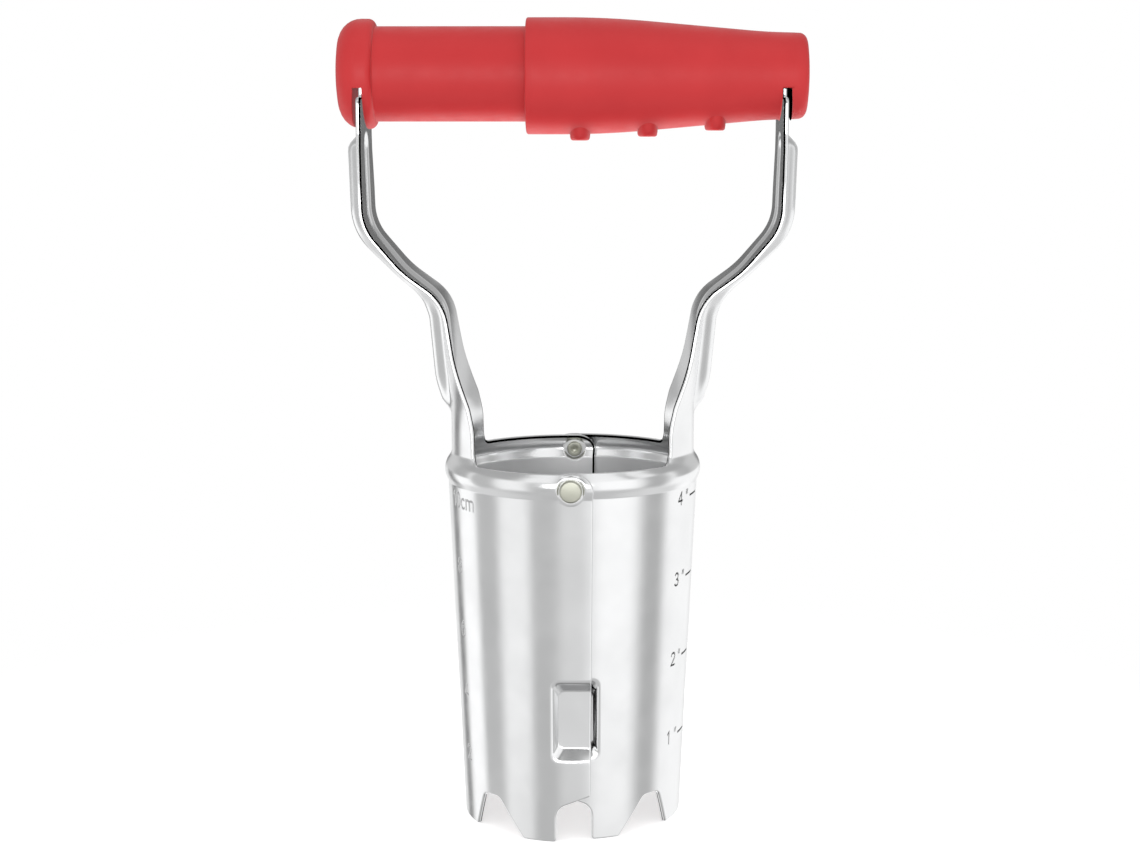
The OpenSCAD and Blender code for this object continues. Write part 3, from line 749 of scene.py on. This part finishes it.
def build_jaw():
    """One pressed sheet with rounded edges. Its slots: steel, inch marks, centimetre marks (the etching with
    a painted highlight), inside.
    """
    loops = [outline - outward_2d(outline) * RIM, window[::-1]]
    loops[1] = loops[1] - outward_2d(loops[1]) * RIM
    skin = Skin()
    ends = []
    for side in (1, -1):
        flat_v, tris = triangulate(loops, jaw_points(side > 0), 0.3)
        a, b = flat_v.T
        p, n, pa, pb = jaw_frame(a, b)
        if side > 0:
            e = 0.02
            cut = mark_depth(a, b)
            ea = (mark_depth(a + e, b) - mark_depth(a - e, b)) / (2 * e)
            eb = (mark_depth(a, b + e) - mark_depth(a, b - e)) / (2 * e)
            normal = unit(n + ea[:, None] * pa / np.sum(pa * pa, -1, keepdims=True)
                          + eb[:, None] * pb / np.sum(pb * pb, -1, keepdims=True))
            idx = skin.add(p + n * (HALF - cut)[:, None], normal)
            marked = cut[tris].mean(axis=1) > MARK_DEPTH / 2
            inch = a[tris].mean(axis=1) > 0
            for slot, which in enumerate((~marked, marked & inch, marked & ~inch)):
                skin.faces(idx[tris[which][:, ::-1]], slot)
        else:
            idx = skin.add(p - n * HALF, -n)
            seat = np.hypot(p[:, 0], p[:, 2] - RIVET_Z) < INNER_SEAT_R + 0.5
            in_tube = (b[tris].mean(axis=1) < S_CREASE) | seat[tris].all(axis=1)
            skin.faces(idx[tris[~in_tube]])
            skin.faces(idx[tris[in_tube]], INSIDE_SLOT)
        rows, start = [], 0
        for loop in loops:
            k = slice(start, start + len(loop))
            m = edge_out(loop, n[k], pa[k], pb[k])
            rows.append(rim_rows(skin, idx[k], p[k], side * n[k], m, (22, 45, 68, 90), RIM, HALF))
            start += len(loop)
        ends.append(rows)
    for outer, inner in zip(*ends):
        skin.strips(outer, inner)
    return skin


# Materials
def preset(node, values):
    for name, value in values.items():
        node.inputs[name].default_value = value


def map_range(tree, value, start, stop, low=0.0, high=1.0, kind="LINEAR"):
    """Takes a value from between start and stop to between low and high."""
    node = tree.nodes.new("ShaderNodeMapRange")
    node.interpolation_type = kind
    preset(node, {"From Min": start, "From Max": stop, "To Min": low, "To Max": high})
    tree.links.new(value, node.inputs["Value"])
    return node.outputs["Result"]


class Paint:
    """A new material, with short ways to add the nodes that its surface needs."""

    def __init__(self, name):
        self.mat = bpy.data.materials.new(name)
        self.mat.use_nodes = True
        self.tree = self.mat.node_tree
        self.nodes, self.links = self.tree.nodes, self.tree.links
        self.shader = self.nodes["Principled BSDF"]
        self.at = self.nodes.new("ShaderNodeTexCoord").outputs["Object"]

    def noise(self, scale, detail, stretch=None):
        tex = self.nodes.new("ShaderNodeTexNoise")
        preset(tex, {"Scale": scale, "Detail": detail})
        source = self.at
        if stretch:
            mapping = self.nodes.new("ShaderNodeMapping")
            preset(mapping, {"Scale": stretch})
            self.links.new(self.at, mapping.inputs["Vector"])
            source = mapping.outputs["Vector"]
        self.links.new(source, tex.inputs["Vector"])
        return tex.outputs["Fac"]

    def rough(self, value, low, high):
        self.links.new(map_range(self.tree, value, 0.3, 0.7, low, high), self.shader.inputs["Roughness"])

    def tinted(self, value, dark, light):
        ramp = self.nodes.new("ShaderNodeValToRGB")
        for stop, place, colour in zip(ramp.color_ramp.elements, (0.3, 0.7), (dark, light)):
            stop.position = place
            stop.color = (*colour, 1)
        self.links.new(value, ramp.inputs["Fac"])
        self.links.new(ramp.outputs["Color"], self.shader.inputs["Base Color"])

    def bumped(self, heights, distance):
        """Chains bumps, each (height, strength), into the shader's normal."""
        previous = None
        for height, strength in heights:
            bump = self.nodes.new("ShaderNodeBump")
            preset(bump, {"Strength": strength, "Distance": distance})
            self.links.new(height, bump.inputs["Height"])
            if previous:
                self.links.new(previous, bump.inputs["Normal"])
            previous = bump.outputs["Normal"]
        self.links.new(previous, self.shader.inputs["Normal"])


def steel(name, dark, light, rough, grain, grain_stretch):
    paint = Paint(name)
    preset(paint.shader, {"Metallic": 1.0})
    paint.tinted(paint.noise(60, 3), dark, light)
    paint.rough(paint.noise(140, 4), *rough)
    lines, specks = paint.noise(1.0, 4, grain_stretch), paint.noise(900, 2)
    paint.bumped([(lines, grain), (specks, grain * 0.5)], 0.00004)
    return paint.mat


def plastic(name, dark, light, rough, grain):
    paint = Paint(name)
    preset(paint.shader, {"Specular IOR Level": 0.45})
    paint.tinted(paint.noise(45, 3), dark, light)
    paint.rough(paint.noise(220, 3), *rough)
    paint.bumped([(paint.noise(2600, 3), grain), (paint.noise(130, 2), grain * 0.4)], 0.00006)
    return paint.mat


# Grain of the steel: drawn up the sheet or along the wire, or the same in all directions
UP_GRAIN = (900, 900, 30)
WIRE_GRAIN = (60, 900, 900)
EVEN_GRAIN = (900, 900, 900)
ZINC_GRAIN = (700, 700, 700)

jaw_steel = steel("plated_steel", (0.88, 0.885, 0.89), (0.94, 0.945, 0.95), (0.15, 0.22), 0.12, UP_GRAIN)
jaw_inside = steel("plated_steel_inside", (0.86, 0.862, 0.865), (0.92, 0.922, 0.925), (0.38, 0.5), 0.12,
                   UP_GRAIN)
inch_mark = steel("dark_etching", (0.05, 0.05, 0.052), (0.08, 0.08, 0.082), (0.45, 0.6), 0.1, EVEN_GRAIN)
# the centimetre marks are the same dark etching as the inch marks, painted pale as a painted highlight for
# the light that falls on them
cm_mark_painted_lit = steel("etching_painted_lit", (0.62, 0.62, 0.625), (0.70, 0.70, 0.705), (0.45, 0.6), 0.1, EVEN_GRAIN)
rivet_zinc = steel("zinc_plating", (0.50, 0.505, 0.43), (0.60, 0.605, 0.52), (0.28, 0.42), 0.25, ZINC_GRAIN)
wire_steel = steel("spring_wire", (0.40, 0.41, 0.43), (0.52, 0.53, 0.55), (0.25, 0.4), 0.2, WIRE_GRAIN)
grip_red = plastic("moulded_red", (0.52, 0.016, 0.019), (0.57, 0.021, 0.024), (0.42, 0.52), 0.18)


# Jaws
HALF_TURN = np.diag([-1.0, -1.0, 1.0])
left_skin = build_jaw().moved((0, -LAP_SHIFT, 0))
right_skin = left_skin.turned(HALF_TURN)
for skin, name, body in ((left_skin, "left_jaw", "jaw_l"), (right_skin, "right_jaw", "jaw_r")):
    obj = skin.make(name + "_pressing", jaw_steel, inch_mark, cm_mark_painted_lit, jaw_inside)
    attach(obj, body)
    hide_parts(name)


# Rivets
def rivet_skin():
    """Turned about the hinge: a flat head outside, and inside a peened tail with a dimple in its end."""
    face = SEAT_Y + LAP_SHIFT + RIVET_GAP
    back = INNER_SEAT_Y - SHEET - LAP_SHIFT - RIVET_GAP
    end, top = back - RIVET_TAIL_T, face + RIVET_HEAD_T
    profile = bent([
        [0, end + DIMPLE_DEPTH, 0],
        [DIMPLE_R - 0.4, end + DIMPLE_DEPTH - 0.1, 0.3],
        [DIMPLE_R, end, 0.2],
        [RIVET_TAIL_R - 0.15, end, 0.35],
        [RIVET_TAIL_R, back, 0.12],
        [RIVET_R, back, 0],
        [RIVET_R, face, 0],
        [RIVET_HEAD_R, face, 0.15],
        [RIVET_HEAD_R, top - HEAD_EDGE, 0.2],
        [RIVET_HEAD_R - 0.45, top, 0.25],
        [0, top, 0]], step=0.08)
    skin = lathe(profile, 96)
    # the lathe turns about +Z, and the rivet's outer end points to -Y
    skin = skin.turned(np.array([[1.0, 0, 0], [0, 0, -1.0], [0, 1.0, 0]]))
    return skin.moved((0, 0, RIVET_Z))


for name, turn in (("front_rivet", np.eye(3)), ("rear_rivet", HALF_TURN)):
    obj = rivet_skin().turned(turn).make(name + "_turned", rivet_zinc)
    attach(obj, "pivot")
    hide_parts(name)


# Grip: turned skins with the arm's slot cut through their underside
def box_skin(low, high):
    """A block with sharp edges, as part of a larger moulding."""
    skin = Skin()
    xs, ys, zs = zip(low, high)
    corners = np.array([[x, y, z] for x in xs for y in ys for z in zs])
    for face in ((0, 1, 3, 2), (4, 6, 7, 5), (0, 4, 5, 1), (2, 3, 7, 6), (0, 2, 6, 4), (1, 5, 7, 3)):
        skin.flat(corners[list(face)])
    return skin


def grip_skin(path, drop, side):
    """Closed turned skin from (radius, x) points, open at the slot of the arm on that side.

    Its outside sits lower than its bore by drop, and the difference goes over its open end."""
    run = run_of(path)
    out_x = path[:, 1] * side
    open_end = np.flatnonzero(np.abs(out_x - out_x.min()) < 1e-6)
    sag = drop * (1 - np.clip((np.arange(len(path)) - open_end[0]) / (len(open_end) - 1), 0, 1))
    total = run[-1]
    wide = math.pi * ARC_R

    def frame_of(a, b):
        e = 0.03
        # th is 0 at the grip's underside and grows towards -Y
        th = a / ARC_R
        r, x = path_at(path, run, b)
        p = np.stack([x, -r * np.sin(th), -r * np.cos(th) - np.interp(b, run, sag)], -1)
        r0, x0 = path_at(path, run, np.maximum(b - e, 0))
        r1, x1 = path_at(path, run, np.minimum(b + e, total))
        dr, dx = r1 - r0, x1 - x0
        n = unit(np.stack([-dr, -dx * np.sin(th), -dx * np.cos(th)], -1))
        pb = unit(np.stack([dx, -dr * np.sin(th), -dr * np.cos(th)], -1))
        pa = np.stack([np.zeros_like(th), -np.cos(th), np.sin(th)], -1)
        return p, n, pa, pb

    # the slot's outline on the skin: for each x its edge lies at the slot's ceiling
    ceiling = GRIP_Z - SLOT_Z
    inside, outside = ARM_X - HALF - SLOT_IN, ARM_X + HALF + SLOT_OUT
    first_half = np.arange(len(path)) < np.argmax(np.abs(path[:, 1] - path[0, 1]))
    skin_s, skin_x = run[first_half], out_x[first_half]
    flare_depth = SLEEVE_R + RIDGE_OUT - ceiling

    def s_of(x):
        ordered = np.argsort(skin_x)
        return np.interp(x, skin_x[ordered], skin_s[ordered])

    def r_of(x):
        return np.interp(s_of(x), run, path[:, 0])

    def edge(x_top, flare):
        pts = []
        for depth in np.linspace(ceiling, SLEEVE_R + drop, 60):
            x = x_top + flare * (depth - ceiling) / flare_depth
            r = float(r_of(x))
            if depth - drop > r:
                break
            pts.append([math.acos((depth - drop) / r) * ARC_R, float(s_of(x))])
        bottom_x = x_top + flare * (float(r_of(x_top)) + drop - ceiling) / flare_depth
        pts.append([0.0, float(s_of(bottom_x))])
        half = np.array(pts)
        return np.concatenate([half, (half * [-1, 1])[::-1][1:]])

    near_edge, far_edge = edge(inside, 0.0), edge(outside, SLOT_FLARE)
    # turned round, because a hole's loop runs clockwise
    loop = resample(np.concatenate([near_edge, far_edge[::-1]]), 0.9, closed=True)[::-1]
    hole = loop - outward_2d(loop) * MOULD_RIM

    # rows along the profile, closer where it bends
    turn = np.unwrap(np.arctan2(np.gradient(path[:, 1]), np.gradient(path[:, 0])))
    rows = [0.0]
    for i in range(1, len(path)):
        gone = run[i] - rows[-1]
        turned = abs(turn[i] - np.interp(rows[-1], run, turn))
        if gone > 2.4 or (turned > math.radians(12) and gone > 0.12):
            rows.append(float(run[i]))
    rows = np.array([r for r in rows if r < total - 0.05] + [float(total)])
    around = np.linspace(-wide, wide, 97)

    border = np.array([(a, 0.0) for a in around[:-1]] + [(wide, b) for b in rows[:-1]]
                      + [(a, total) for a in around[:0:-1]] + [(-wide, b) for b in rows[:0:-1]])
    points = grid_of(around[1:-1], rows[1:-1])
    lo, hi = hole.min(0) - 1.2, hole.max(0) + 1.2
    fine = lattice(lo[0], hi[0], 1.0, levels((lo[1], hi[1], 0.5)))
    fine = fine[(fine[:, 1] > 0.2) & (fine[:, 1] < total - 0.2)]
    points = np.concatenate([outside_box(points, lo, hi), fine])

    flat_v, tris = triangulate([border, hole], points, 0.2)
    a, b = flat_v.T
    p, n, pa, pb = frame_of(a, b)
    skin = Skin()
    idx = skin.add(p, n)
    # close the seam along the top, and each end that lies on the axis
    weld = idx.copy()
    right = np.where(np.abs(a - wide) < 1e-4)[0]
    left = np.where(np.abs(a + wide) < 1e-4)[0]
    for i in right:
        weld[i] = left[np.argmin(np.abs(b[left] - b[i]))]
    for level in (0.0, total):
        at = np.where(np.abs(b - level) < 1e-4)[0]
        if np.interp(level, run, path[:, 0]) < 1e-6:
            weld[at] = at[0]
    faces = weld[tris[:, ::-1]]
    good = (faces[:, 0] != faces[:, 1]) & (faces[:, 1] != faces[:, 2]) & (faces[:, 2] != faces[:, 0])
    skin.faces(faces[good])

    # the slot's rounded edge, its walls up to the ceiling, and the tongue's pocket above
    k = slice(len(border), len(border) + len(hole))
    m = edge_out(hole, n[k], pa[k], pb[k])
    rim_rows(skin, idx[k], p[k], n[k], m, (30, 60, 90), MOULD_RIM, 0.0)
    base = skin.v[-1]
    top_z = SLOT_Z - GRIP_Z
    normal = unit(m * [1, 1, 0])
    foot = skin.add(base, normal)
    roof_at = np.stack([base[:, 0], base[:, 1], np.maximum(base[:, 2], top_z)], 1)
    roof = skin.add(roof_at, normal)
    skin.strips(foot, roof)
    room, yc = TONGUE_W / 2 + TONGUE_ROOM, side * LAP_SHIFT
    x0, x1 = sorted([side * (inside - 0.6), side * (outside - 0.3)])
    pocket = np.array([[x0, yc - room], [x1, yc - room], [x1, yc + room], [x0, yc + room]])
    plan = roof_at[:, :2]
    (low_x, low_y), (high_x, high_y) = plan.min(0), plan.max(0)
    ceil_top = TONGUE_Z + TONGUE_ROOM - GRIP_Z
    for y0, y1 in ((low_y, yc - room), (yc + room, high_y)):
        skin.flat([[low_x, y0, top_z], [low_x, y1, top_z], [high_x, y1, top_z], [high_x, y0, top_z]])
    for i in range(4):
        (x0, y0), (x1, y1) = pocket[i], pocket[(i + 1) % 4]
        skin.flat([[x1, y1, top_z], [x0, y0, top_z], [x0, y0, ceil_top], [x1, y1, ceil_top]])
    skin.flat([[*pocket[i], ceil_top] for i in (3, 2, 1, 0)])

    # the lug in the tongue's window
    reach, lug_z, root_half = LUG_LEN / 2, LUG_Z - GRIP_Z, LUG_ROOT_SHARE * LUG_R
    side_line = bent([[0, -reach, 0], [LUG_R, -reach, 0.3], [LUG_R, reach, 0.3], [0, reach, 0]], step=0.1)
    bar = lathe(side_line, 32).turned(np.array([[1.0, 0, 0], [0, 0, 1.0], [0, -1.0, 0]]))
    skin.join(bar.moved((side * ARM_X, yc, lug_z)))
    x0, x1 = sorted([side * ARM_X, side * (ARM_X + HALF + SLOT_OUT + 1)])
    skin.join(box_skin((x0, yc - reach, lug_z - root_half), (x1, yc + reach, lug_z + root_half)))
    return skin.moved((0, 0, GRIP_Z))


inner_profile = bent([
    [0, -GRIP_HALF, 0],
    [FLANGE_R, DOME_RISE - GRIP_HALF, FLANGE_END_BEND],
    [FLANGE_R, -FLANGE_X, FLANGE_BEND],
    [TUBE_R, -FLANGE_X, 0.35],
    [TUBE_R, TUBE_END_X, 0.6],
    [SPRING_BORE_R, TUBE_END_X, 0.6],
    [SPRING_BORE_R, SPRING_X0, 0.8],
    [0, SPRING_X0, 0]], step=0.1)
bore_r = TUBE_R + SLIDE_GAP
outer_profile = bent([
    [0, GRIP_HALF, 0],
    [SLEEVE_END_R, GRIP_HALF - DOME_RISE, SLEEVE_END_BEND],
    [WAIST_R, WAIST_X, WAIST_BEND],
    [SLEEVE_R, TAPER_X, TAPER_BEND],
    [SLEEVE_R, SLEEVE_X, SLEEVE_EDGE],
    [bore_r, SLEEVE_X, 0.3],
    [bore_r, SPRING_X1, 0.5],
    [STUB_R, SPRING_X1, 0.4],
    [STUB_R, SPRING_X1 - STUB_LEN, 1.0],
    [0, SPRING_X1 - STUB_LEN, 0]], step=0.1)


def sleeve_at(x):
    return SLEEVE_R + (WAIST_R - SLEEVE_R) * max(0, x - TAPER_X) / (WAIST_X - TAPER_X)


def ridge_skin(x):
    """A finger ridge: an oblong bump with domed ends that stands out of the sleeve's underside."""
    low = -sleeve_at(x) - RIDGE_OUT
    turn = circle(64)
    c, s = np.cos(turn), np.sin(turn)
    straight = np.sign(s) * RIDGE_STRAIGHT * smooth(np.abs(s) * 4)
    skin = Skin()
    rows = []
    # from the flat underside, over its rounded edge, up the leaning wall into the sleeve:
    # how wide the ridge is there, what share of its height that is, and how far the skin has turned
    section = ((0.75, 0.0, 0.0), (0.84, 0.03, 0.35), (0.91, 0.10, 0.7), (0.96, 0.22, 0.95), (1.0, 0.45, 1.2),
               (1.03, 1.0, 1.4))
    for wide, share, lean in section:
        half_w, half_l = RIDGE_W / 2 * wide, RIDGE_END * wide
        at = np.column_stack([half_w * c, straight + half_l * s])
        top = np.array([-math.sqrt(sleeve_at(x + px) ** 2 - py ** 2) for px, py in at]) + RIDGE_SUNK
        out = unit(np.column_stack([c / half_w, s / half_l]))
        normal = np.column_stack([out * math.sin(lean), np.full(len(c), -math.cos(lean))])
        rows.append(skin.add(np.column_stack([at, low + (top - low) * share]), normal))
    skin.faces([rows[0][::-1]])
    skin.strips(*rows)
    return skin.moved((x, 0, GRIP_Z - SLEEVE_DROP))


grip_i = grip_skin(resample(inner_profile, 0.05), 0.0, -1).make("grip_inner_moulding", grip_red)
sleeve = grip_skin(resample(outer_profile, 0.05), SLEEVE_DROP, 1)
for i in range(RIDGE_COUNT):
    sleeve.join(ridge_skin(RIDGE_X + i * RIDGE_PITCH))
grip_o = sleeve.make("grip_outer_moulding", grip_red)
for obj, name, body in ((grip_i, "grip_inner", "grip_i"), (grip_o, "grip_outer", "grip_o")):
    obj.visible_glossy = False
    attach(obj, body)
    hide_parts(name)


# Spring: one round wire, wound about the grip's axis
def spring_skin(per_turn=28, sides=10):
    mid = SPRING_R - WIRE_R
    x0, x1 = SPRING_X0 + WIRE_R + SPRING_GAP, SPRING_X1 - WIRE_R - SPRING_GAP
    t = np.linspace(0, TURNS, TURNS * per_turn + 1)
    ang = 2 * math.pi * t
    out = np.stack([np.zeros_like(t), np.cos(ang), np.sin(ang)], 1)
    centre = np.stack([x0 + (x1 - x0) * t / TURNS, mid * np.cos(ang), mid * np.sin(ang)], 1)
    along = np.array([1.0, 0, 0])
    skin = Skin()
    rows = []
    for c, o in zip(centre, out):
        w = circle(sides)
        n = np.cos(w)[:, None] * o + np.sin(w)[:, None] * along
        rows.append(skin.add(c + WIRE_R * n, n))
    skin.strips(*rows)
    skin.faces([rows[0][::-1], rows[-1]])
    return skin.moved((0, 0, GRIP_Z))


spring = spring_skin().make("return_spring_coil", wire_steel)
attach(spring, "grip_i")
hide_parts("return_spring")
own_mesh(spring)


# Floor: a pale disc that fades into the white backdrop between two distances in metres
FADE_NEAR = 0.07
FADE_FAR = 0.28


def make_floor():
    rings, segments, radius, drop = 24, 64, 900.0, 0.05
    skin = Skin()
    w = circle(segments)
    up = np.repeat([[0, 0, 1.0]], segments, 0)
    rows = []
    for k in range(1, rings + 1):
        r = radius * (k / rings) ** 1.5
        rows.append(skin.add(np.stack([r * np.cos(w), r * np.sin(w), np.full(segments, -drop)], 1), up))
    skin.faces([rows[0]])
    skin.strips(*rows[::-1])
    paint = Paint("pale_floor")
    paint.tinted(paint.noise(6, 3), (0.94, 0.94, 0.94), (0.96, 0.96, 0.96))
    preset(paint.shader, {"Roughness": 0.8, "Specular IOR Level": 0.1,
                          "Emission Color": (1, 1, 1, 1), "Emission Strength": 0.45})
    far = paint.nodes.new("ShaderNodeVectorMath")
    far.operation = "LENGTH"
    paint.links.new(paint.at, far.inputs[0])
    fade = map_range(paint.tree, far.outputs["Value"], FADE_NEAR, FADE_FAR, 1.0, 0.0, "SMOOTHSTEP")
    paint.links.new(fade, paint.shader.inputs["Alpha"])
    floor = skin.make("floor", paint.mat)
    floor.visible_glossy = False


make_floor()


# Light: a white studio with bright panels and darker gaps round it, so that the metal has something to show
# Each panel is (from, to, level), and the light eases from one panel to the next
# Round the walls, in degrees from the camera's side towards +X
WALL = [(-180, -180, 0.2), (-156, -152, 0.85), (-146, -138, 0.25), (-127, -106, 1.1), (-98, -80, 0.5),
        (-66, -46, 0.95), (-34, -20, 0.5), (-5, 8, 0.7), (30, 56, 1.05), (78, 88, 0.45), (106, 152, 1.0),
        (180, 180, 0.2)]
# Up the back wall, by the height of the direction
BACK = [(-1, -0.96, 0.1), (-0.88, -0.5, 1.4), (-0.3, -0.18, 0.9), (-0.05, 0.15, 0.15), (0.45, 0.45, 0.9),
        (1, 1, 0.55)]
# The upper part of the walls towards the back, in degrees to either side of the camera
UPPER = [(0, 100, 0.7), (112, 125, 0.45), (140, 156, 0.6), (166, 180, 0.15)]
# Three softboxes hung above the front, in degrees as round the walls
HIGH = [(-180, -60, 0.4), (-42, -20, 0.95), (-8, 8, 0.3), (18, 48, 0.95), (58, 58, 0.5), (68, 78, 0.9),
        (92, 180, 0.4)]
# The floor before, beside and behind the tool, and straight below it
FLOOR_FRONT = 0.55
FLOOR_SIDE = 0.7
FLOOR_BACK = 1.2
FLOOR_BELOW = 0.25


def make_world():
    world = bpy.data.worlds.new("studio")
    bpy.context.scene.world = world
    world.use_nodes = True
    nodes, links = world.node_tree.nodes, world.node_tree.links
    nodes.clear()
    out = nodes.new("ShaderNodeOutputWorld")
    at = nodes.new("ShaderNodeTexCoord").outputs["Generated"]
    xyz = nodes.new("ShaderNodeSeparateXYZ")
    links.new(at, xyz.inputs[0])
    x, y, z = xyz.outputs

    def math_node(operation, a, b=None, c=None):
        node = nodes.new("ShaderNodeMath")
        node.operation = operation
        for socket, value in zip(node.inputs, (a, b, c)):
            if isinstance(value, (int, float)):
                socket.default_value = value
            elif value:
                links.new(value, socket)
        return node.outputs[0]

    def step_up(value, low, high):
        return map_range(world.node_tree, value, low, high, kind="SMOOTHSTEP")

    def ramp(value, panels, low, high):
        """Levels along a value from 0 to 1, which the panels give from low to high."""
        node = nodes.new("ShaderNodeValToRGB")
        node.color_ramp.interpolation = "EASE"
        elements = node.color_ramp.elements
        elements.remove(elements[1])
        stops = [(at, level) for start, stop, level in panels for at in sorted({start, stop})]
        for i, (at, level) in enumerate(stops):
            place = (at - low) / (high - low)
            e = elements[0] if i == 0 else elements.new(place)
            e.position = place
            e.color = (level, level, level, 1)
        links.new(value, node.inputs["Fac"])
        return node.outputs["Color"]

    def mixed(share, base, over):
        node = nodes.new("ShaderNodeMix")
        node.data_type = "RGBA"
        links.new(share, node.inputs["Factor"])
        for socket, value in ((node.inputs["A"], base), (node.inputs["B"], over)):
            if isinstance(value, float):
                socket.default_value = (value, value, value, 1)
            else:
                links.new(value, socket)
        return node.outputs["Result"]

    turn = math_node("ARCTAN2", x, math_node("MULTIPLY", y, -1.0))
    around = math_node("MULTIPLY_ADD", turn, 1 / (2 * math.pi), 0.5)
    walls = ramp(around, WALL, -180, 180)
    back = ramp(math_node("MULTIPLY_ADD", z, 0.5, 0.5), BACK, -1, 1)
    side = math_node("ABSOLUTE", turn)
    upper = ramp(math_node("MULTIPLY", side, 1 / math.pi), UPPER, 0, 180)
    above = step_up(z, -0.12, -0.05)
    behind = math_node("MULTIPLY", step_up(side, math.radians(100), math.radians(110)), above)
    studio = mixed(behind, walls, upper)
    high = ramp(around, HIGH, -180, 180)
    studio = mixed(step_up(z, 0.3, 0.45), studio, high)
    floor = mixed(step_up(y, -0.5, -0.1), FLOOR_FRONT, FLOOR_SIDE)
    floor = mixed(step_up(y, 0.4, 0.75), floor, FLOOR_BACK)
    floor = mixed(step_up(z, -0.85, -0.95), floor, FLOOR_BELOW)
    studio = mixed(step_up(z, -0.35, -0.6), studio, floor)
    studio = mixed(step_up(side, math.radians(158), math.radians(166)), studio, back)

    path = nodes.new("ShaderNodeLightPath")
    mirrored_ray = math_node("MAXIMUM", path.outputs["Is Glossy Ray"], path.outputs["Is Transmission Ray"])
    shown, plain, white = (nodes.new("ShaderNodeBackground") for _ in range(3))
    links.new(studio, shown.inputs["Color"])
    plain.inputs["Color"].default_value = (0.95, 0.95, 0.95, 1)
    white.inputs["Color"].default_value = (1, 1, 1, 1)
    last = plain.outputs[0]
    for ray, shader in ((mirrored_ray, shown), (path.outputs["Is Camera Ray"], white)):
        pick = nodes.new("ShaderNodeMixShader")
        links.new(ray, pick.inputs["Fac"])
        links.new(last, pick.inputs[1])
        links.new(shader.outputs[0], pick.inputs[2])
        last = pick.outputs[0]
    links.new(last, out.inputs["Surface"])


make_world()


def area_light(name, at, target, size, power):
    data = bpy.data.lights.new(name, "AREA")
    data.shape = "RECTANGLE"
    data.size, data.size_y = size
    data.energy = power
    obj = bpy.data.objects.new(name, data)
    obj.location = at
    obj.rotation_mode = "QUATERNION"
    obj.rotation_quaternion = (Vector(target) - Vector(at)).to_track_quat("-Z", "Y")
    bpy.context.scene.collection.objects.link(obj)
    return obj


top_light = area_light("top_softbox", (0.1, -0.5, 1.3), (0, 0, 0.12), (1.2, 0.9), 0.8)
area_light("front_softbox", (-0.1, -1.2, 0.24), (0, 0, 0.2), (0.8, 0.4), 2.6)
# light that comes off the floor behind the tool, onto the grip's underside
floor_bounce = area_light("floor_bounce", (0, 0.15, 0.004), (0, 0, 0.232), (0.34, 0.1), 1.2)
floor_bounce.visible_camera = False
for lamp in (top_light, floor_bounce):
    lamp.visible_glossy = False


# Camera at the photograph's angle. Its lens is given in pixels of a picture of that width.
AZIMUTH = math.radians(1.0)
ELEVATION = math.radians(8.86)
DISTANCE = 0.630
TARGET = Vector((-0.0009, 0, 0.1228))
SENSOR_MM = 36.0
LENS_PX = 2010.7
PICTURE_PX = 1140
level = math.cos(ELEVATION)
back = Vector((math.sin(AZIMUTH) * level, -math.cos(AZIMUTH) * level, math.sin(ELEVATION)))
cam_data = bpy.data.cameras.new("camera")
cam_data.sensor_fit = "HORIZONTAL"
cam_data.sensor_width = SENSOR_MM
cam_data.lens = SENSOR_MM * LENS_PX / PICTURE_PX
cam_data.clip_start, cam_data.clip_end = 0.01, 20
cam = bpy.data.objects.new("camera", cam_data)
cam.location = TARGET + back * DISTANCE
cam.rotation_mode = "QUATERNION"
cam.rotation_quaternion = (-back).to_track_quat("-Z", "Y")
bpy.context.scene.collection.objects.link(cam)
bpy.context.scene.camera = cam
bpy.context.scene.view_settings.view_transform = "Standard"
